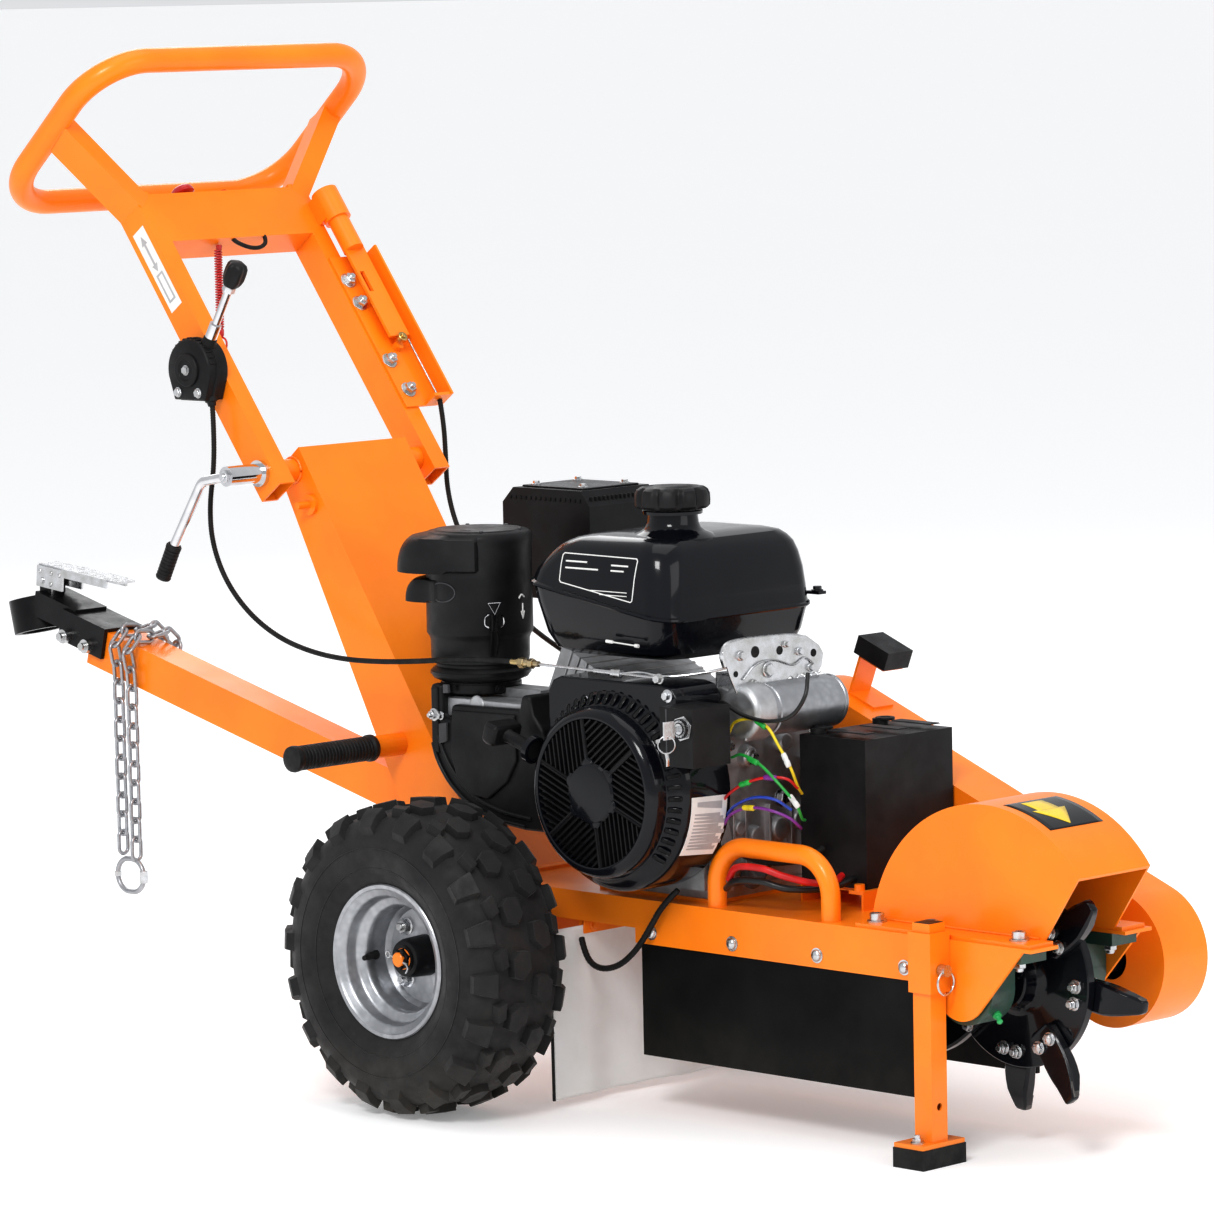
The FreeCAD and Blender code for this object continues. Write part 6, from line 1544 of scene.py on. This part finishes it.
THROTTLE_CABLE = ((-447.9, -156, 790.3), (-443.9, -158, 756.3), (-445.9, -158, 712.3), (-457.9, -156, 666.3),
                  (-455, -156, 622), (-433, -156, 578), (-393, -156, 541), (-341, -156, 515), (-284, -157, 502),
                  (-226, -158, 497), (-168, -158.2, 498), (-110, -158, 502), (-52, -158.5, 508), (4, -161, 512.5),
                  (61.8, -163, 514))
CLUTCH_CABLE = ((-390.3, 165, 776.4), (-384.3, 165, 748.4), (-382, 165, 708), (-380, 164, 666), (-362, 161, 622),
                (-328, 156, 583), (-286, 149, 550), (-238, 141, 521), (-184, 134, 497), (-128, 130, 476),
                (-70, 129, 457), (-12, 130, 440), (44, 134, 425), (98, 141, 412), (137.5, 146.2, 397))
BATTERY_LEAD = ((291.6, -60, 311.6), (322, -64, 304), (352, -58, 297), (378, -40, 297), (392, -18, 303),
                (395, -5.8, 310))
WIRING_LOOM = ((109, -106.5, 193), (120, -112, 172), (146, -116, 161), (178, -116, 168), (206, -115, 190),
               (228, -114, 219), (246, -112, 246), (262, -104, 262.5))


def ribbed_tube(name, points, radius, body, groove=0.35, pitch=3.2):
    """A cable's outer casing with its close-wound ridges."""
    path = route_line(name + "_route", [P(*p) for p in points])
    rings, side = [], None
    for step, (here, k) in enumerate(walk(path, int(path_length(path) * 1000 / pitch * 3))):
        side, rise = carried(path[min(k + 1, len(path) - 1)] - path[max(k - 2, 0)], side)
        rings.append(circle(here, side, rise, radius - (groove if step % 3 == 0 else 0), 12))
    shape = Shape()
    shape.rings(rings)
    return put(shape, name, "rubber", body, angle=60)


def control_cables():
    """Casings that run from the handle to the machine and ride no body, the leads on the machine, and the clutch's
    bare wire.
    """
    throttle = ribbed_tube("throttle_cable", THROTTLE_CABLE, 3.2, None)
    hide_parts("handle_cables")
    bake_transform(throttle)
    clutch = ribbed_tube("clutch_cable", CLUTCH_CABLE, 3.2, None)
    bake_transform(clutch)
    lead = ribbed_tube("battery_lead", BATTERY_LEAD, 4.2, "chassis", 0.0)
    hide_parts("machine_cables")
    ribbed_tube("wiring_loom", WIRING_LOOM, 3.6, "chassis", 0.25, 5.0)
    for body, name, radius, low, high in (("handle", "clutch_wire_lower", 1.4, 60.5, 100), ("clutch_slider",
            "clutch_wire_upper", 1.3, 75, 150)):
        wire = Shape()
        wire.sweep([on_arm(along, 34, 165) for along in (low, (low + high) / 2, high)], radius, 10)
        put(wire, name, "zinc", body, angle=60)


def slider_details():
    bolts = Shape()
    for along, y in ((248, 128), (214, 128), (128, 128), (84, 134)):
        bolts.bolt(on_arm(along, 23.0, y), FRONT, 7.6, 7.4, 10.4, stud=4.0, turn=along)
    put(bolts, "slider_bolts", "zinc", "handle", angle=30)
    clevis = Shape()
    clevis.lathe(on_arm(150, 37.2, 150), FRONT, [(0, 0), (0, 6.6), (5.2, 6.6), (6, 5.8), (6, 0)], 24)
    clevis.lathe(on_arm(150, 43.0, 150), FRONT, [(0, 0), (0, 3.4), (2.2, 3.4), (2.8, 2.4), (2.8, 0)], 16)
    put(clevis, "slider_clevis", "brass", "clutch_slider", angle=30)


def crank():
    """The clamp's chromed crank with a nut on its end and a ribbed black grip."""
    start, end = P(-482, -193, 620), P(-504, -193, 580)
    axis = (end - start).normalized()
    shape = Shape()
    length = (end - start).length * 1000
    shape.lathe(start, axis, [(-1.2, 6.2), (-1.2, 8.6), (0.4, 9.6), (3.4, 9.6)] + [item
        for k in range(int((length - 8) / 4.6)) for item in ((5 + 4.6 * k, 8.2), (5.8 + 4.6 * k, 9.3),
        (7.8 + 4.6 * k, 9.3), (8.6 + 4.6 * k, 8.2))] + [(length - 2.2, 9.6), (length - 0.3, 8.8), (length, 6.8),
        (length, 0.0), (length - 2, 0.0), (length - 2, 6.2)], 36, loop=True)
    put(shape, "crank_grip_ribbed", "grip", "clamp_crank", angle=40, replaces=["crank_grip"])
    nut = Shape()
    nut.prism(P(PIVOT_X, -196.1, PIVOT_Z), -ACROSS, 6, 8.0, 5.0, 0.3, 0.8)
    nut.lathe(P(PIVOT_X, -200.6, PIVOT_Z), -ACROSS, [(0, 0), (0, 4.2), (2.2, 4.2), (3, 3.4), (3, 0)], 16)
    put(nut, "crank_nut", "zinc", "clamp_crank", angle=30)


def coupling():
    """Sleeves on the chain's end link, and the latch plate's rivets."""
    clip = Shape()
    low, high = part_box("safety_chain")
    centre = Vector(((low[0] + high[0]) / 2, -0.0345, low[2] + 0.024))
    for sign, length in ((1, 15), (-1, 6)):
        at = centre + Vector((sign * 0.0246, 0, -length / 2000))
        clip.prism(at, UP, 6, 5.2 if sign > 0 else 4.4, length, 0.3, 0.8)
    put(clip, "chain_link_sleeves", "zinc", angle=30)
    rivets = Shape()
    turn = Matrix.Rotation(radians(6), 4, "Y")
    pivot = P(-942, 0, 537)
    for x, z in ((-4, 12), (18, 12), (34, 12), (18, -2)):
        for side in (-1, 1):
            at = turn @ (P(-942 + x, side * 18.1, 537 + z) - pivot) + pivot
            rivets.lathe(at, ACROSS * side, [(-0.4, 0), (-0.4, 3.0), (0.5, 2.8), (1.3, 1.9), (1.6, 0)], 16)
    put(rivets, "latch_rivets", "zinc", "coupler_latch", angle=50)


# ------------------------------------------------------------------ put together
# the CAD parts that show: material, bevel in mm, its segments, the angle it starts at, and the parts
FINISHES = (
    ("orange", 1.2, 3, 35, "deck column tow_bar handle_loop handle_arm_near handle_arm_far cross_plate cutter_guard"),
    ("orange", 0.8, 3, 40, "slider_bracket"), ("orange", 1.0, 3, 40, "clutch_slider"),
    ("orange", 1.2, 3, 40, "belt_guard"), ("orange", 1.6, 3, 40, "stand_leg"), ("orange", 0, 3, 35, "lift_handle"),
    ("black_plastic", 3.0, 4, 40, "hour_meter"), ("black_plastic", 4.0, 4, 40, "control_box"),
    ("black_plastic", 5.0, 4, 40, "battery_box"), ("satin_black", 3.0, 4, 40, "tow_coupler"),
    ("satin_black", 6.0, 4, 30, "muffler_cover"), ("gloss_black", 1.0, 3, 35, "cutter_shaft"),
    ("black_iron", 0.6, 3, 35, "engine_pulley cutter_pulley"), ("green", 2.2, 4, 40, "bearing_blocks"),
    ("cast_aluminium", 6.0, 4, 40, "engine_block"), ("zinc", 0.4, 3, 35, "coupler_bolts"),
    ("zinc", 0.9, 3, 40, "coupler_latch"), ("zinc", 0.3, 2, 35, "ignition_key"), ("zinc", 0, 3, 35, "stand_pin"),
    ("galvanised", 0, 3, 35, "safety_chain"), ("chrome", 0.3, 2, 35, "throttle_lever"),
    ("chrome", 0.6, 3, 35, "clamp_crank"), ("flap", 0.8, 3, 35, "side_flaps"), ("rubber", 0.6, 3, 35, "drive_belt"),
    ("rubber", 2.4, 4, 40, "stand_pad"), ("red", 1.6, 4, 40, "lanyard_switch"),
)
studio()
lanyard()
for wheel_side, wheel_name in ((-1, "near"), (1, "far")):
    tyre(wheel_side, wheel_name)
    rim(wheel_side, wheel_name)
for build in (fuel_tank, air_cleaner, intake_shroud, fan_housing, recoil_handle, control_box, governor, starter,
        engine_block, muffler_cover, guard_marks, cutter_wheel, bearings, deck_fixings, welds, battery, cables,
        leg_and_axle, side_handle, curtain, stand, switches, sticker, throttle, control_loop, control_cables,
        slider_details, crank, coupling):
    build()
for finish, softened, cuts, limit, names in FINISHES:
    for node_name in names.split():
        finish_node(node_name, finish, softened, cuts, limit)
